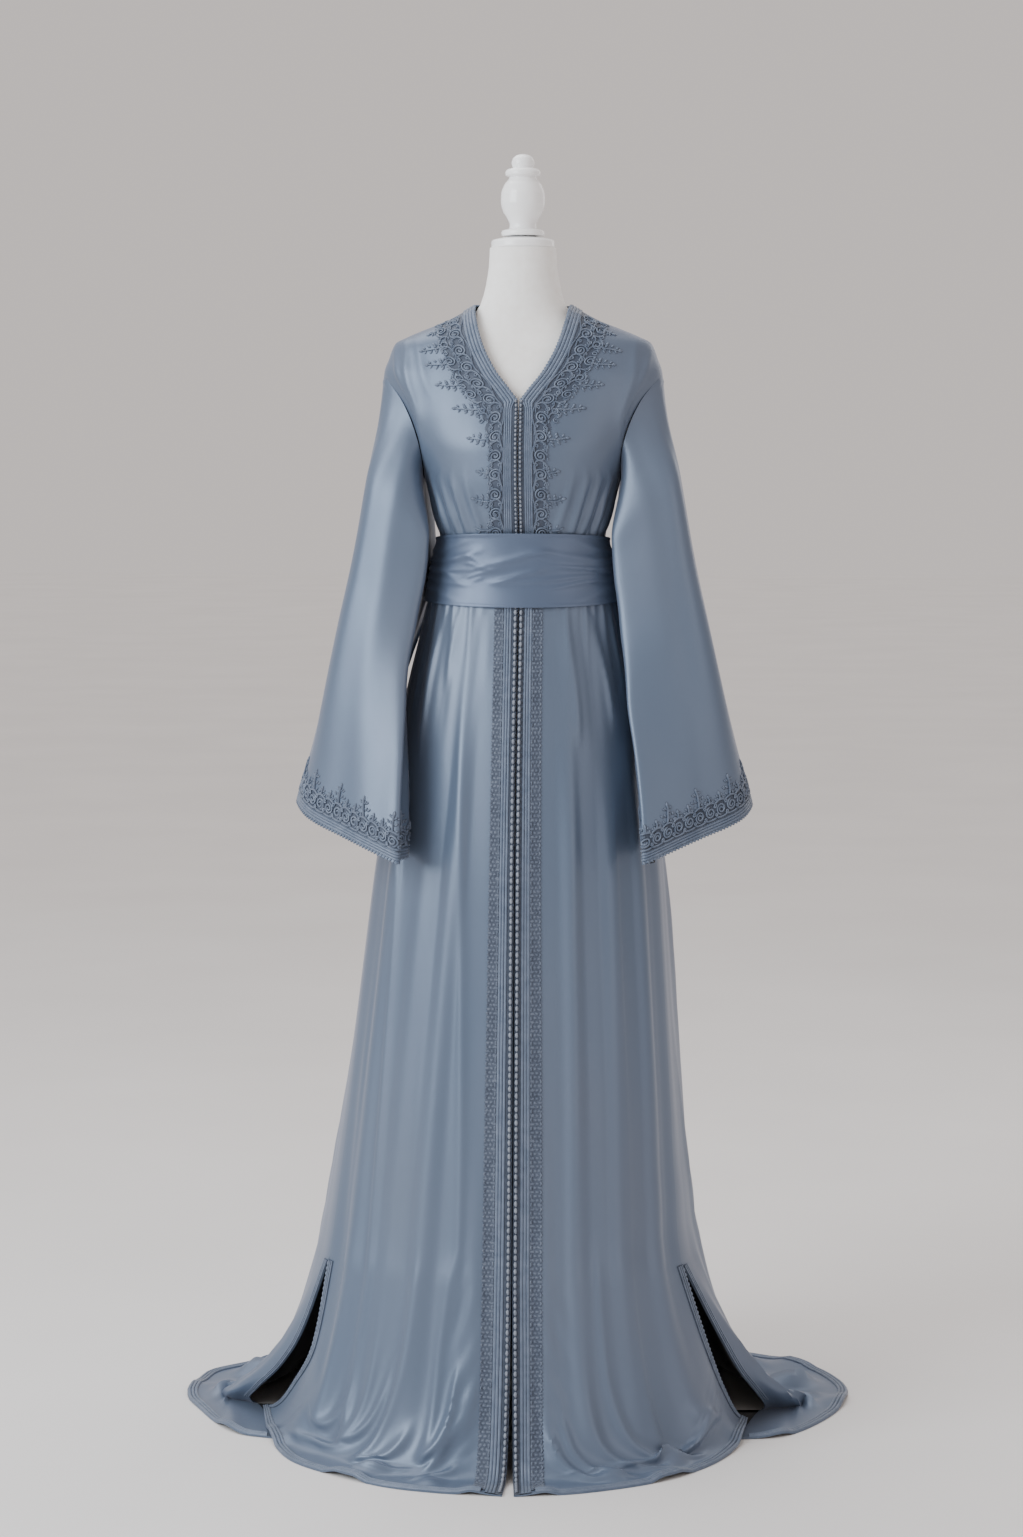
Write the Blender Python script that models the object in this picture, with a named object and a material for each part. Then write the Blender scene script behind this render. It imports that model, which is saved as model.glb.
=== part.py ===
# Kaftan with a sash on a limbless dress form. Metres, +Z up.
# The origin is on the floor under the form's pole, and the front faces -Y.
# The cloth's shape is a stack of rings round the form, measured in the tables below.
import math

import bpy
from mathutils import Vector

for item in list(bpy.data.objects):
    bpy.data.objects.remove(item, do_unlink=True)

WALL = 0.0020
SEAM = 0.0003
SHOULDER_SEAM = 0.0008
TRIM_GAP = 0.0004
TRIM = 0.0012
UNDERARM = 1.36
ARM_TOP = 1.51
SPLIT = 0.255
ARM_SWING = math.radians(28)
EDGE = 0.0008

# Rings of the cloth: height, half width left, half width right, front depth, back depth
RINGS = (
    (0.255, 0.2980, 0.2560, 0.252, 0.264),
    (0.300, 0.2890, 0.2470, 0.244, 0.254),
    (0.341, 0.2815, 0.2430, 0.239, 0.248),
    (0.399, 0.2715, 0.2360, 0.233, 0.241),
    (0.457, 0.2620, 0.2310, 0.227, 0.235),
    (0.573, 0.2455, 0.2210, 0.214, 0.223),
    (0.689, 0.2305, 0.2125, 0.202, 0.211),
    (0.805, 0.2145, 0.2035, 0.189, 0.197),
    (0.950, 0.1870, 0.1820, 0.163, 0.168),
    (1.060, 0.1660, 0.1640, 0.138, 0.138),
    (1.130, 0.1490, 0.1480, 0.118, 0.114),
    (1.182, 0.1370, 0.1370, 0.104, 0.100),
    (1.230, 0.1240, 0.1240, 0.094, 0.090),
    (1.276, 0.1180, 0.1180, 0.095, 0.088),
    (1.312, 0.1270, 0.1270, 0.106, 0.094),
    (1.360, 0.1400, 0.1400, 0.119, 0.102),
    (1.400, 0.1560, 0.1560, 0.120, 0.104),
    (1.440, 0.1730, 0.1730, 0.110, 0.102),
    (1.470, 0.1850, 0.1850, 0.101, 0.099),
    (1.510, 0.1990, 0.1990, 0.089, 0.092),
    (1.530, 0.1925, 0.1925, 0.082, 0.087),
    (1.553, 0.1830, 0.1830, 0.075, 0.080),
    (1.5630, 0.1640, 0.1640, 0.071, 0.076),
    (1.5738, 0.1380, 0.1380, 0.067, 0.072),
    (1.5853, 0.1090, 0.1090, 0.063, 0.068),
    (1.608, 0.0680, 0.0680, 0.058, 0.062),
)

# Side seam's place round the ring: height, degrees from the front centre
SIDE_SEAM = (
    (0.255, 64.0), (0.39, 67.0), (0.56, 70.0), (0.80, 72.5), (1.00, 79.0),
    (1.18, 87.0), (1.28, 90.0), (1.36, 90.0),
)

# Front neckline in front view: distance out, height
NECK_FRONT = (
    (0.0008, 1.470), (0.016, 1.490), (0.033, 1.512), (0.053, 1.551), (0.064, 1.588), (0.068, 1.608),
)

# Hem outlines on the floor, centre to slit corner: x, y
HEM_FRONT_LEFT = (
    (-0.006, -0.364), (-0.080, -0.358), (-0.150, -0.343), (-0.220, -0.307),
    (-0.313, -0.229), (-0.358, -0.116), (-0.378, -0.016),
)
HEM_FRONT_RIGHT = (
    (0.010, -0.364), (0.070, -0.354), (0.132, -0.332), (0.214, -0.284),
    (0.288, -0.194), (0.318, -0.110), (0.3252, -0.031),
)
HEM_BACK_LEFT = (
    (0.0, 0.420), (-0.170, 0.395), (-0.300, 0.320), (-0.3834, 0.2571), (-0.4458, 0.2122),
    (-0.4919, 0.1633), (-0.5037, 0.0694), (-0.4686, -0.0206), (-0.3941, -0.1253), (-0.3440, -0.1400),
)
HEM_BACK_RIGHT = (
    (0.0, 0.420), (0.150, 0.405), (0.240, 0.372), (0.3095, 0.3295), (0.3929, 0.2840),
    (0.4513, 0.2209), (0.4765, 0.1373), (0.4683, 0.0747), (0.4281, -0.0209), (0.3623, -0.0921),
    (0.3150, -0.1000),
)

# Slit edges from the top of the slit to the hem corner: x, y, z
SLIT_FRONT_LEFT = (
    (-0.2924, -0.1080, 0.127), (-0.3233, -0.0720, 0.064), (-0.3560, -0.0380, 0.018), (-0.3780, -0.0160, 0.0068),
)
SLIT_FRONT_RIGHT = (
    (0.2690, -0.0870, 0.127), (0.2900, -0.0640, 0.064), (0.3120, -0.0430, 0.018), (0.3252, -0.0310, 0.0068),
)
SLIT_BACK_LEFT = (
    (-0.3150, -0.0790, 0.130), (-0.3480, -0.0500, 0.077), (-0.3850, -0.0220, 0.036),
    (-0.4010, 0.0080, 0.012), (-0.3960, 0.0220, 0.0012), (-0.3760, -0.0200, 0.0010),
    (-0.3560, -0.0850, 0.0010), (-0.3440, -0.1400, 0.0010),
)
SLIT_BACK_RIGHT = (
    (0.2860, -0.0540, 0.130), (0.3130, -0.0320, 0.077), (0.3400, -0.0060, 0.036),
    (0.3510, 0.0220, 0.012), (0.3480, 0.0380, 0.0012), (0.3330, -0.0060, 0.0010),
    (0.3220, -0.0560, 0.0010), (0.3150, -0.1000, 0.0010),
)

# Sleeve lines: along, outer x y z, inner x y z, half depth, lean of the front edge
SLEEVE = (
    (0.00, 0.1990, 0.000, 1.510, 0.1400, 0.000, 1.360, 0.056, 0.000),
    (0.12, 0.2060, 0.000, 1.445, 0.1400, 0.002, 1.318, 0.060, 0.014),
    (0.25, 0.2185, -0.002, 1.370, 0.1390, 0.000, 1.262, 0.063, 0.024),
    (0.40, 0.2370, -0.004, 1.250, 0.1440, -0.015, 1.165, 0.062, 0.020),
    (0.55, 0.2575, -0.010, 1.145, 0.1560, -0.050, 1.080, 0.057, 0.010),
    (0.70, 0.2790, -0.020, 1.048, 0.1640, -0.092, 0.995, 0.051, 0.004),
    (0.85, 0.2995, -0.030, 0.973, 0.1690, -0.130, 0.912, 0.045, 0.000),
    (1.00, 0.3205, -0.040, 0.901, 0.1715, -0.156, 0.830, 0.041, 0.000),
)

# How much the sleeves' lines stand further out on each side: outer line, inner line
SLEEVE_OUT = {-1: (-0.0060, -0.0130), 1: (0.0010, 0.0130)}

# Folds in the skirt: panel, place at the waist, place at the hem, top, height, half width
SKIRT_FOLDS = (
    ("front_left", 0.30, 0.42, 1.10, 0.0100, 0.085),
    ("front_left", 0.52, 0.60, 0.95, 0.0045, 0.080),
    ("front_left", 0.76, 0.80, 1.05, 0.0100, 0.080),
    ("front_left", 0.16, 0.17, 0.50, 0.0060, 0.060),
    ("front_right", 0.30, 0.33, 1.10, 0.0070, 0.080),
    ("front_right", 0.55, 0.56, 1.00, 0.0075, 0.075),
    ("front_right", 0.78, 0.80, 1.05, 0.0075, 0.080),
    ("front_right", 0.15, 0.16, 0.55, 0.0050, 0.060),
    ("back_left", 0.14, 0.13, 1.05, 0.0100, 0.090),
    ("back_left", 0.42, 0.38, 1.05, 0.0110, 0.100),
    ("back_left", 0.72, 0.64, 1.00, 0.0100, 0.100),
    ("back_right", 0.16, 0.15, 1.05, 0.0100, 0.090),
    ("back_right", 0.44, 0.41, 1.05, 0.0110, 0.100),
    ("back_right", 0.74, 0.67, 1.00, 0.0100, 0.100),
)

# Gathers above and below the sash: place from centre to side, height below, height above, half width
GATHERS = (
    (0.30, 0.0045, 0.0035, 0.050), (0.42, 0.0050, 0.0045, 0.050), (0.54, 0.0040, 0.0040, 0.050),
    (0.66, 0.0050, 0.0045, 0.050), (0.78, 0.0045, 0.0045, 0.050), (0.89, 0.0030, 0.0030, 0.045),
)

# Folds where the cloth lies on the floor: panel, place along the hem, place out, height, half widths
POOL_FOLDS = (
    ("front_left", 0.42, 0.66, 0.0120, 0.07, 0.20),
    ("front_left", 0.80, 0.60, 0.0100, 0.07, 0.20),
    ("front_left", 0.22, 0.74, 0.0060, 0.06, 0.16),
    ("front_right", 0.33, 0.68, 0.0100, 0.07, 0.20),
    ("front_right", 0.58, 0.64, 0.0110, 0.07, 0.20),
    ("front_right", 0.80, 0.60, 0.0080, 0.06, 0.20),
    ("back_left", 0.13, 0.62, 0.0110, 0.07, 0.30),
    ("back_left", 0.38, 0.66, 0.0130, 0.07, 0.30),
    ("back_left", 0.56, 0.66, 0.0150, 0.06, 0.28),
    ("back_left", 0.74, 0.66, 0.0130, 0.06, 0.26),
    ("back_right", 0.15, 0.62, 0.0110, 0.07, 0.30),
    ("back_right", 0.41, 0.66, 0.0130, 0.07, 0.30),
    ("back_right", 0.60, 0.66, 0.0140, 0.06, 0.28),
    ("back_right", 0.77, 0.66, 0.0120, 0.06, 0.26),
)

# Rows of the panels, hem to underarm: share of the flare run first, then heights
FLARE_ROWS = (0.89, 0.77, 0.64, 0.51, 0.38, 0.25, 0.12)
BODY_ROWS = (
    0.255, 0.33, 0.43, 0.55, 0.68, 0.81, 0.92, 1.00, 1.07, 1.12, 1.16, 1.192, 1.23, 1.27, 1.300, 1.33,
)
UPPER_STEPS = 10
HEM_BAND = 0.016
# Where along the flare the cloth reaches the floor, and how late it turns outwards
FLARE = {"front": (0.88, 3.7), "back": (0.86, 5.0)}
SLIT_BAND = 0.013

# Columns from the centre edge: button strip, braid, lace, then the chest embroidery's steps
CENTRE_COLUMNS = (0.0, 0.008, 0.019, 0.034, 0.050, 0.070, 0.092)
FRONT_MIDDLE = 11
BACK_COLUMNS = 13


def smooth(value):
    value = min(1.0, max(0.0, value))
    return value * value * (3.0 - 2.0 * value)


def bump(distance, half):
    share = min(1.0, abs(distance) / half)
    return 0.5 + 0.5 * math.cos(math.pi * share)


def steady(xs, ys, x):
    """A smooth curve through a table that makes no bumps of its own."""
    if x <= xs[0]:
        return ys[0]
    if x >= xs[-1]:
        return ys[-1]
    count = len(xs)
    place = 0
    while x > xs[place + 1]:
        place += 1

    def rise(index):
        return (ys[index + 1] - ys[index]) / (xs[index + 1] - xs[index])

    def slope(index):
        if index == 0:
            return rise(0)
        if index == count - 1:
            return rise(count - 2)
        before, after = rise(index - 1), rise(index)
        if before * after <= 0.0:
            return 0.0
        return 2.0 * before * after / (before + after)

    step = xs[place + 1] - xs[place]
    t = (x - xs[place]) / step
    a = ys[place]
    b = ys[place + 1]
    ta = slope(place) * step
    tb = slope(place + 1) * step
    return (
        a * (2 * t ** 3 - 3 * t ** 2 + 1)
        + ta * (t ** 3 - 2 * t ** 2 + t)
        + b * (3 * t ** 2 - 2 * t ** 3)
        + tb * (t ** 3 - t ** 2)
    )


def column_of(table, index):
    return [row[index] for row in table]


RING_Z = column_of(RINGS, 0)
RING_PARTS = [column_of(RINGS, index) for index in range(1, 5)]


def half_width(z, side):
    return steady(RING_Z, RING_PARTS[0 if side < 0 else 1], z)


def ring_point(angle, z, side):
    wide = half_width(z, side)
    deep = steady(RING_Z, RING_PARTS[2 if math.cos(angle) > 0 else 3], z)
    return Vector((side * wide * math.sin(angle), -deep * math.cos(angle), z))


def seam_angle(z):
    return math.radians(steady(column_of(SIDE_SEAM, 0), column_of(SIDE_SEAM, 1), z))


def walk(points, shares):
    """Points at given shares of a polyline's length."""
    lengths = [0.0]
    for a, b in zip(points, points[1:]):
        lengths.append(lengths[-1] + (b - a).length)
    total = lengths[-1]
    found = []
    place = 0
    for share in shares:
        want = share * total
        while place < len(points) - 2 and lengths[place + 1] < want:
            place += 1
        span = lengths[place + 1] - lengths[place]
        mix = 0.0 if span == 0.0 else (want - lengths[place]) / span
        found.append(points[place].lerp(points[place + 1], min(1.0, max(0.0, mix))))
    return found


def length_of(points):
    return sum((b - a).length for a, b in zip(points, points[1:]))


def curve_through(points, count):
    """A smooth curve through given points, as a fine polyline."""
    points = [Vector(point) for point in points]
    marks = [0.0]
    for a, b in zip(points, points[1:]):
        marks.append(marks[-1] + (b - a).length)
    fine = []
    for step in range(count + 1):
        at = marks[-1] * step / count
        parts = [steady(marks, [point[axis] for point in points], at) for axis in range(len(points[0]))]
        fine.append(Vector(parts))
    return fine


def neck_curve():
    return curve_through([(x, 0.0, z) for x, z in NECK_FRONT], 60)


def upper_left(panel, side, v):
    """Centre edge above the underarm as angle and height: centre line, then neckline."""
    if panel == "front":
        rise = 0.42
        if v <= rise:
            z = UNDERARM + (NECK_FRONT[0][1] - UNDERARM) * v / rise
            return math.asin(EDGE / half_width(z, side)), z
        at = walk(neck_curve(), [(v - rise) / (1.0 - rise)])[0]
        return math.asin(min(1.0, at.x / half_width(at.z, side))), at.z
    rise = 0.80
    if v <= rise:
        return math.pi, UNDERARM + (1.594 - UNDERARM) * v / rise
    share = (v - rise) / (1.0 - rise)
    return math.pi - 0.5 * math.pi * share, 1.594 + 0.014 * share ** 2


def upper_right(panel, v):
    swing = ARM_SWING * math.sin(math.pi * v)
    z = UNDERARM + (ARM_TOP - UNDERARM) * 0.5 * (1.0 - math.cos(math.pi * v))
    if panel == "front":
        return 0.5 * math.pi - swing, z
    return 0.5 * math.pi + swing, z


def shoulder_height(u, side):
    """Height on the shoulder line at an even share of its width."""
    want = 0.068 + (0.199 - 0.068) * u
    low, high = ARM_TOP, 1.608
    for step in range(30):
        middle = 0.5 * (low + high)
        if half_width(middle, side) > want:
            low = middle
        else:
            high = middle
    return 0.5 * (low + high)


def upper_point(panel, side, u, v):
    left = upper_left(panel, side, v)
    right = upper_right(panel, v)
    start = upper_left(panel, side, 0.0)
    foot = (start[0] + (0.5 * math.pi - start[0]) * u, UNDERARM)
    head = (0.5 * math.pi, shoulder_height(u, side))
    corners = (start, (0.5 * math.pi, UNDERARM), (0.5 * math.pi, 1.608), (0.5 * math.pi, ARM_TOP))
    found = []
    for axis in range(2):
        found.append(
            (1 - v) * foot[axis] + v * head[axis] + (1 - u) * left[axis] + u * right[axis]
            - (1 - u) * (1 - v) * corners[0][axis] - u * (1 - v) * corners[1][axis]
            - (1 - u) * v * corners[2][axis] - u * v * corners[3][axis]
        )
    return ring_point(found[0], found[1], side)


def body_row(panel, side, z, count):
    start = math.asin(EDGE / half_width(z, side)) if panel == "front" else math.pi
    stop = seam_angle(z)
    return [ring_point(start + (stop - start) * step / count, z, side) for step in range(count + 1)]


def fold_height(name, share, z):
    """How far the folds stand out of the plain ring."""
    window = smooth(share / 0.12) * smooth((1.0 - share) / 0.10)
    total = 0.0
    for panel, top_place, hem_place, top, height, half in SKIRT_FOLDS:
        if panel != name or z > top:
            continue
        down = min(1.0, (top - z) / (top - SPLIT))
        place = top_place + (hem_place - top_place) * down
        total += height * smooth((top - z) / 0.30) * (bump(share - place, half) - 0.20)
    for place, below, above, half in GATHERS:
        if 0.90 < z < 1.182:
            lean = place + 0.05 * (1.182 - z) / 0.28
            total += below * bump(share - lean, half) * smooth((z - 0.93) / 0.16) * smooth((1.182 - z) / 0.03)
        if 1.276 < z < 1.40:
            lean = place + 0.10 * (z - 1.276) / 0.10
            total += above * bump(share - lean, half) * smooth((1.385 - z) / 0.07) * smooth((z - 1.276) / 0.02)
    return total * window


def pool_height(name, share, out):
    total = 0.0
    for panel, along, place, height, half_along, half_out in POOL_FOLDS:
        if panel == name:
            total += height * bump(share - along, half_along) * bump(out - place, half_out)
    return total * smooth((1.0 - out) / 0.10) * smooth((0.93 - share) / 0.08)


def column_shares(panel, length, z):
    """Shares of a row's length at which the panel's columns stand."""
    end = 1.0 - SLIT_BAND / length
    if panel == "back":
        shares = [end * (1.0 - (1.0 - step / (BACK_COLUMNS - 1)) ** 1.3) for step in range(BACK_COLUMNS)]
        return shares + [1.0]
    grow = 1.0 + 0.26 * smooth((1.18 - z) / 1.1)
    first = [grow * distance / length for distance in CENTRE_COLUMNS]
    step = (end - first[-1]) / FRONT_MIDDLE
    middle = [first[-1] + step * (index + 1) for index in range(FRONT_MIDDLE)]
    return first + middle + [1.0]


def panel_grid(name):
    """Points of one half panel: rows from the hem up, columns from the centre to the side."""
    panel, side_name = name.split("_")
    side = -1 if side_name == "left" else 1
    fine = 80
    hem = {
        "front_left": HEM_FRONT_LEFT, "front_right": HEM_FRONT_RIGHT,
        "back_left": HEM_BACK_LEFT, "back_right": HEM_BACK_RIGHT,
    }[name]
    slit = {
        "front_left": SLIT_FRONT_LEFT, "front_right": SLIT_FRONT_RIGHT,
        "back_left": SLIT_BACK_LEFT, "back_right": SLIT_BACK_RIGHT,
    }[name]
    hem_line = curve_through([(x, y, 0.0) for x, y in hem], 160)
    top_line = body_row(panel, side, SPLIT, fine)
    top_shares = column_shares(panel, length_of(top_line), SPLIT)
    top_points = walk(top_line, top_shares)
    hem_shares = column_shares(panel, length_of(hem_line), 0.0)
    hem_points = walk(hem_line, hem_shares)
    slit_line = curve_through([tuple(top_points[-1])] + list(slit), 120)
    slit_length = length_of(slit_line)
    columns = len(top_points)
    floor = 0.5 * WALL
    rows = []
    band = HEM_BAND / slit_length
    steps = [1.0, None] + list(FLARE_ROWS)
    for step in steps:
        row = []
        for index in range(columns):
            start = top_points[index]
            end = hem_points[index]
            run = (end - Vector((start.x, start.y, 0.0))).length
            near_hem = 1.0 - HEM_BAND / run
            out = near_hem if step is None else (1.0 if step == 1.0 else near_hem * step)
            touch, bend = FLARE[panel]
            flat = start.lerp(end, out)
            z = floor + (SPLIT - floor) * max(0.0, 1.0 - out / touch) ** bend
            share = top_shares[index] + (hem_shares[index] - top_shares[index]) * out
            away = Vector((start.x, start.y, 0.0)).normalized()
            stand = fold_height(name, share, SPLIT) * (1.0 - smooth(out / 0.75))
            point = Vector((flat.x, flat.y, z)) + away * stand
            point.z += pool_height(name, share, out)
            down = 1.0 - band if step is None else (1.0 if step == 1.0 else (1.0 - band) * step)
            on_slit = walk(slit_line, [down])[0]
            base = top_points[-1].lerp(hem_points[-1], out)
            plain = Vector((base.x, base.y, floor + (SPLIT - floor) * max(0.0, 1.0 - out / touch) ** bend))
            reach = smooth((share - 0.62) / 0.38)
            point += (on_slit - plain) * reach
            point.z = max(point.z, floor)
            row.append(point)
        rows.append(row)
    for z in BODY_ROWS:
        line = body_row(panel, side, z, fine)
        shares = column_shares(panel, length_of(line), z)
        row = []
        for share, point in zip(shares, walk(line, shares)):
            away = Vector((point.x, point.y, 0.0)).normalized()
            row.append(point + away * fold_height(name, share, z))
        rows.append(row)
    for step in range(UPPER_STEPS + 1):
        v = step / UPPER_STEPS
        line = [upper_point(panel, side, u / fine, v) for u in range(fine + 1)]
        shares = column_shares(panel, length_of(line), 1.4)
        row = []
        for share, point in zip(shares, walk(line, shares)):
            away = Vector((point.x, point.y, 0.0)).normalized()
            row.append(point + away * fold_height(name, share, point.z) * (1.0 - smooth(v / 0.4)))
        rows.append(row)
    return rows


HEM_ROWS = 2 + len(FLARE_ROWS)
ARM_ROW = HEM_ROWS + len(BODY_ROWS)


def sleeve_values(t):
    marks = column_of(SLEEVE, 0)
    return [steady(marks, column_of(SLEEVE, index), t) for index in range(1, 9)]


def sleeve_point(side, turn, t):
    """A point on the sleeve: turn is 0 on the outer line, half a turn on the inner line."""
    ox, oy, oz, ix, iy, iz, deep, lean = sleeve_values(t)
    more = SLEEVE_OUT[side]
    outer = Vector((side * (ox + more[0] * smooth(t / 0.35)), oy, oz))
    inner = Vector((side * (ix + more[1] * smooth((t - 0.4) / 0.6)), iy, iz))
    middle = (outer + inner) * 0.5
    across = (outer - inner) * 0.5
    flat = Vector((across.x, across.y, 0.0)).normalized()
    ahead = Vector((flat.y, -flat.x, 0.0)) if side > 0 else Vector((-flat.y, flat.x, 0.0))
    point = middle + across * math.cos(turn) + ahead * deep * math.sin(turn)
    point.x += side * lean * math.sin(turn)
    crease = 0.005 * bump(math.degrees(turn) - 62, 34) * smooth(t / 0.25)
    back_crease = 0.005 * bump(math.degrees(turn) - 250, 40) * smooth(t / 0.35)
    return point + (point - middle).normalized() * (crease + back_crease)


def clear_of_skirt(point, side, room):
    """Moves a point out of the skirt, so that the sleeve hangs in front of it."""
    z = point.z
    if z > 1.50:
        return point
    wide = half_width(z, side) + room
    deep = steady(RING_Z, RING_PARTS[2 if point.y < 0 else 3], z) + room
    reach = math.sqrt((point.x / wide) ** 2 + (point.y / deep) ** 2)
    if reach >= 1.0:
        return point
    return Vector((point.x / reach, point.y / reach, z))


def lapped(place, side, rise):
    """The sleeve's first edge laps over the body near the underarm: rise is 0 there and 1 at the shoulder."""
    wide = half_width(place.z, side)
    deep = steady(RING_Z, RING_PARTS[2 if place.y < 0 else 3], place.z)
    away = Vector((place.x / wide ** 2, place.y / deep ** 2, 0.0)).normalized()
    return place + away * (0.0031 * smooth((0.86 - rise) / 0.36))


SLEEVE_ROWS = (0.0, 0.05, 0.12, 0.21, 0.32, 0.45, 0.58, 0.71, 0.83, 0.91, 0.972, 1.0)


def sleeve_grid(side, front, back):
    """Rows from the armhole down; columns round from the shoulder, front first."""
    loop = [front[ARM_ROW + step][-1] for step in range(UPPER_STEPS, -1, -1)]
    loop += [back[ARM_ROW + step][-1] for step in range(1, UPPER_STEPS)]
    turns = [math.pi * step / UPPER_STEPS for step in range(2 * UPPER_STEPS)]
    rows = []
    for t in SLEEVE_ROWS:
        row = []
        for place, turn in zip(loop, turns):
            place = lapped(place, side, abs(1.0 - turn / math.pi))
            point = sleeve_point(side, turn, t)
            held = 1.0 - smooth(t / 0.30)
            point += (place - sleeve_point(side, turn, 0.0)) * held
            if t > 0.0:
                room = 0.0038 + 0.0037 * smooth(t / 0.20) + 0.0060 * smooth((1.31 - point.z) / 0.03)
                point = clear_of_skirt(point, side, room)
            row.append(point)
        rows.append(row)
    return rows


def key_of(point):
    return round(point.x, 5), round(point.y, 5), round(point.z, 5)


def grid_faces(rows, closed):
    """Quads of a grid of points as pairs of row and column."""
    faces = []
    columns = len(rows[0])
    for r in range(len(rows) - 1):
        for c in range(columns if closed else columns - 1):
            n = (c + 1) % columns
            faces.append(((r, c), (r, n), (r + 1, n), (r + 1, c)))
    return faces


def shared_normals(grids):
    """One outward normal a point, averaged over every cloth piece that meets there."""
    sums = {}
    for rows, closed, flip in grids:
        for face in grid_faces(rows, closed):
            points = [rows[r][c] for r, c in face]
            normal = (points[2] - points[0]).cross(points[3] - points[1])
            if flip:
                normal.negate()
            for point in points:
                key = key_of(point)
                sums[key] = sums.get(key, Vector((0.0, 0.0, 0.0))) + normal
    return {key: value.normalized() for key, value in sums.items()}


def make_object(name, points, faces, colour, rough):
    mesh = bpy.data.meshes.new(name)
    mesh.from_pydata([tuple(point) for point in points], [], faces)
    mesh.update()
    body = bpy.data.objects.new(name, mesh)
    bpy.context.scene.collection.objects.link(body)
    material = bpy.data.materials.new(name)
    material.use_nodes = True
    shader = material.node_tree.nodes["Principled BSDF"]
    shader.inputs["Base Color"].default_value = (colour[0], colour[1], colour[2], 1.0)
    shader.inputs["Roughness"].default_value = rough
    mesh.materials.append(material)
    return body


def thicken(name, points, normals, faces, low, high, colour, rough):
    """A closed wall from a surface: its faces at two distances out, joined round every open edge."""
    count = len(points)
    solid = [point + normal * high for point, normal in zip(points, normals)]
    solid += [point + normal * low for point, normal in zip(points, normals)]
    edges = {}
    for face in faces:
        for a, b in zip(face, face[1:] + face[:1]):
            edges[(a, b)] = True
    polygons = []
    for face in faces:
        quads = [face]
        if len(face) == 4:
            quads = [(face[0], face[1], face[2]), (face[0], face[2], face[3])]
        for quad in quads:
            polygons.append(tuple(quad))
            polygons.append(tuple(index + count for index in reversed(quad)))
    for a, b in edges:
        if (b, a) not in edges:
            polygons.append((b, a, a + count))
            polygons.append((b, a + count, b + count))
    return make_object(name, solid, polygons, colour, rough)


def pulled(rows, r, c, row_pull, column_pull):
    """A grid point moved along the grid by small lengths, towards the inside of its piece."""
    point = rows[r][c].copy()
    if column_pull:
        other = rows[r][c + (1 if column_pull > 0 else -1)]
        span = other - rows[r][c]
        point += span * (abs(column_pull) / max(span.length, 1e-6))
    if row_pull:
        other = rows[r + (1 if row_pull > 0 else -1)][c]
        span = other - rows[r][c]
        point += span * (abs(row_pull) / max(span.length, 1e-6))
    return point


CLOTH = (0.150, 0.225, 0.330)
BRAID = (0.085, 0.125, 0.190)
BUTTON = (0.420, 0.450, 0.490)
JERSEY = (0.780, 0.760, 0.730)
GLOSS = (0.860, 0.860, 0.860)


def cloth_pieces(grids, normals):
    for side_name in ("left", "right"):
        flip = side_name == "right"
        name = "front_" + side_name
        rows = grids[name]
        last_row = len(rows) - 1
        last = len(rows[0]) - 1
        points, outward = [], []
        for r in range(last_row + 1):
            for c in range(last + 1):
                column_pull = -SEAM if c == last and r >= HEM_ROWS else 0
                row_pull = -SHOULDER_SEAM if r == last_row else 0
                points.append(pulled(rows, r, c, row_pull, column_pull))
                outward.append(normals[key_of(rows[r][c])])
        faces = []
        for face in grid_faces(rows, False):
            ids = [r * (last + 1) + c for r, c in face]
            faces.append(tuple(reversed(ids)) if side_name == "left" else tuple(ids))
        thicken(name, points, outward, faces, -0.5 * WALL, 0.5 * WALL, CLOTH, 0.35)
    points, outward, faces = [], [], []
    ids = {}
    for side_name in ("left", "right"):
        rows = grids["back_" + side_name]
        last_row = len(rows) - 1
        last = len(rows[0]) - 1
        for r in range(last_row + 1):
            for c in range(last + 1):
                key = key_of(rows[r][c])
                if c == 0 and key in ids:
                    ids[(side_name, r, c)] = ids[key]
                    continue
                column_pull = -SEAM if c == last and r >= HEM_ROWS else 0
                row_pull = -SHOULDER_SEAM if r == last_row else 0
                points.append(pulled(rows, r, c, row_pull, column_pull))
                outward.append(normals[key])
                ids[(side_name, r, c)] = len(points) - 1
                if c == 0:
                    ids[key] = len(points) - 1
        for face in grid_faces(rows, False):
            quad = [ids[(side_name, r, c)] for r, c in face]
            faces.append(tuple(quad) if side_name == "left" else tuple(reversed(quad)))
    thicken("back", points, outward, faces, -0.5 * WALL, 0.5 * WALL, CLOTH, 0.35)
    for side_name in ("left", "right"):
        rows = grids["sleeve_" + side_name]
        columns = len(rows[0])
        points, outward = [], []
        for r in range(len(rows)):
            for c in range(columns):
                points.append(pulled(rows, r, c, SEAM if r == 0 else 0, 0))
                outward.append(normals[key_of(rows[r][c])])
        faces = []
        for face in grid_faces(rows, True):
            quad = [r * columns + c for r, c in face]
            faces.append(tuple(reversed(quad)) if side_name == "left" else tuple(quad))
        thicken("sleeve_" + side_name, points, outward, faces, -0.5 * WALL, 0.5 * WALL, CLOTH, 0.35)


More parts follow.
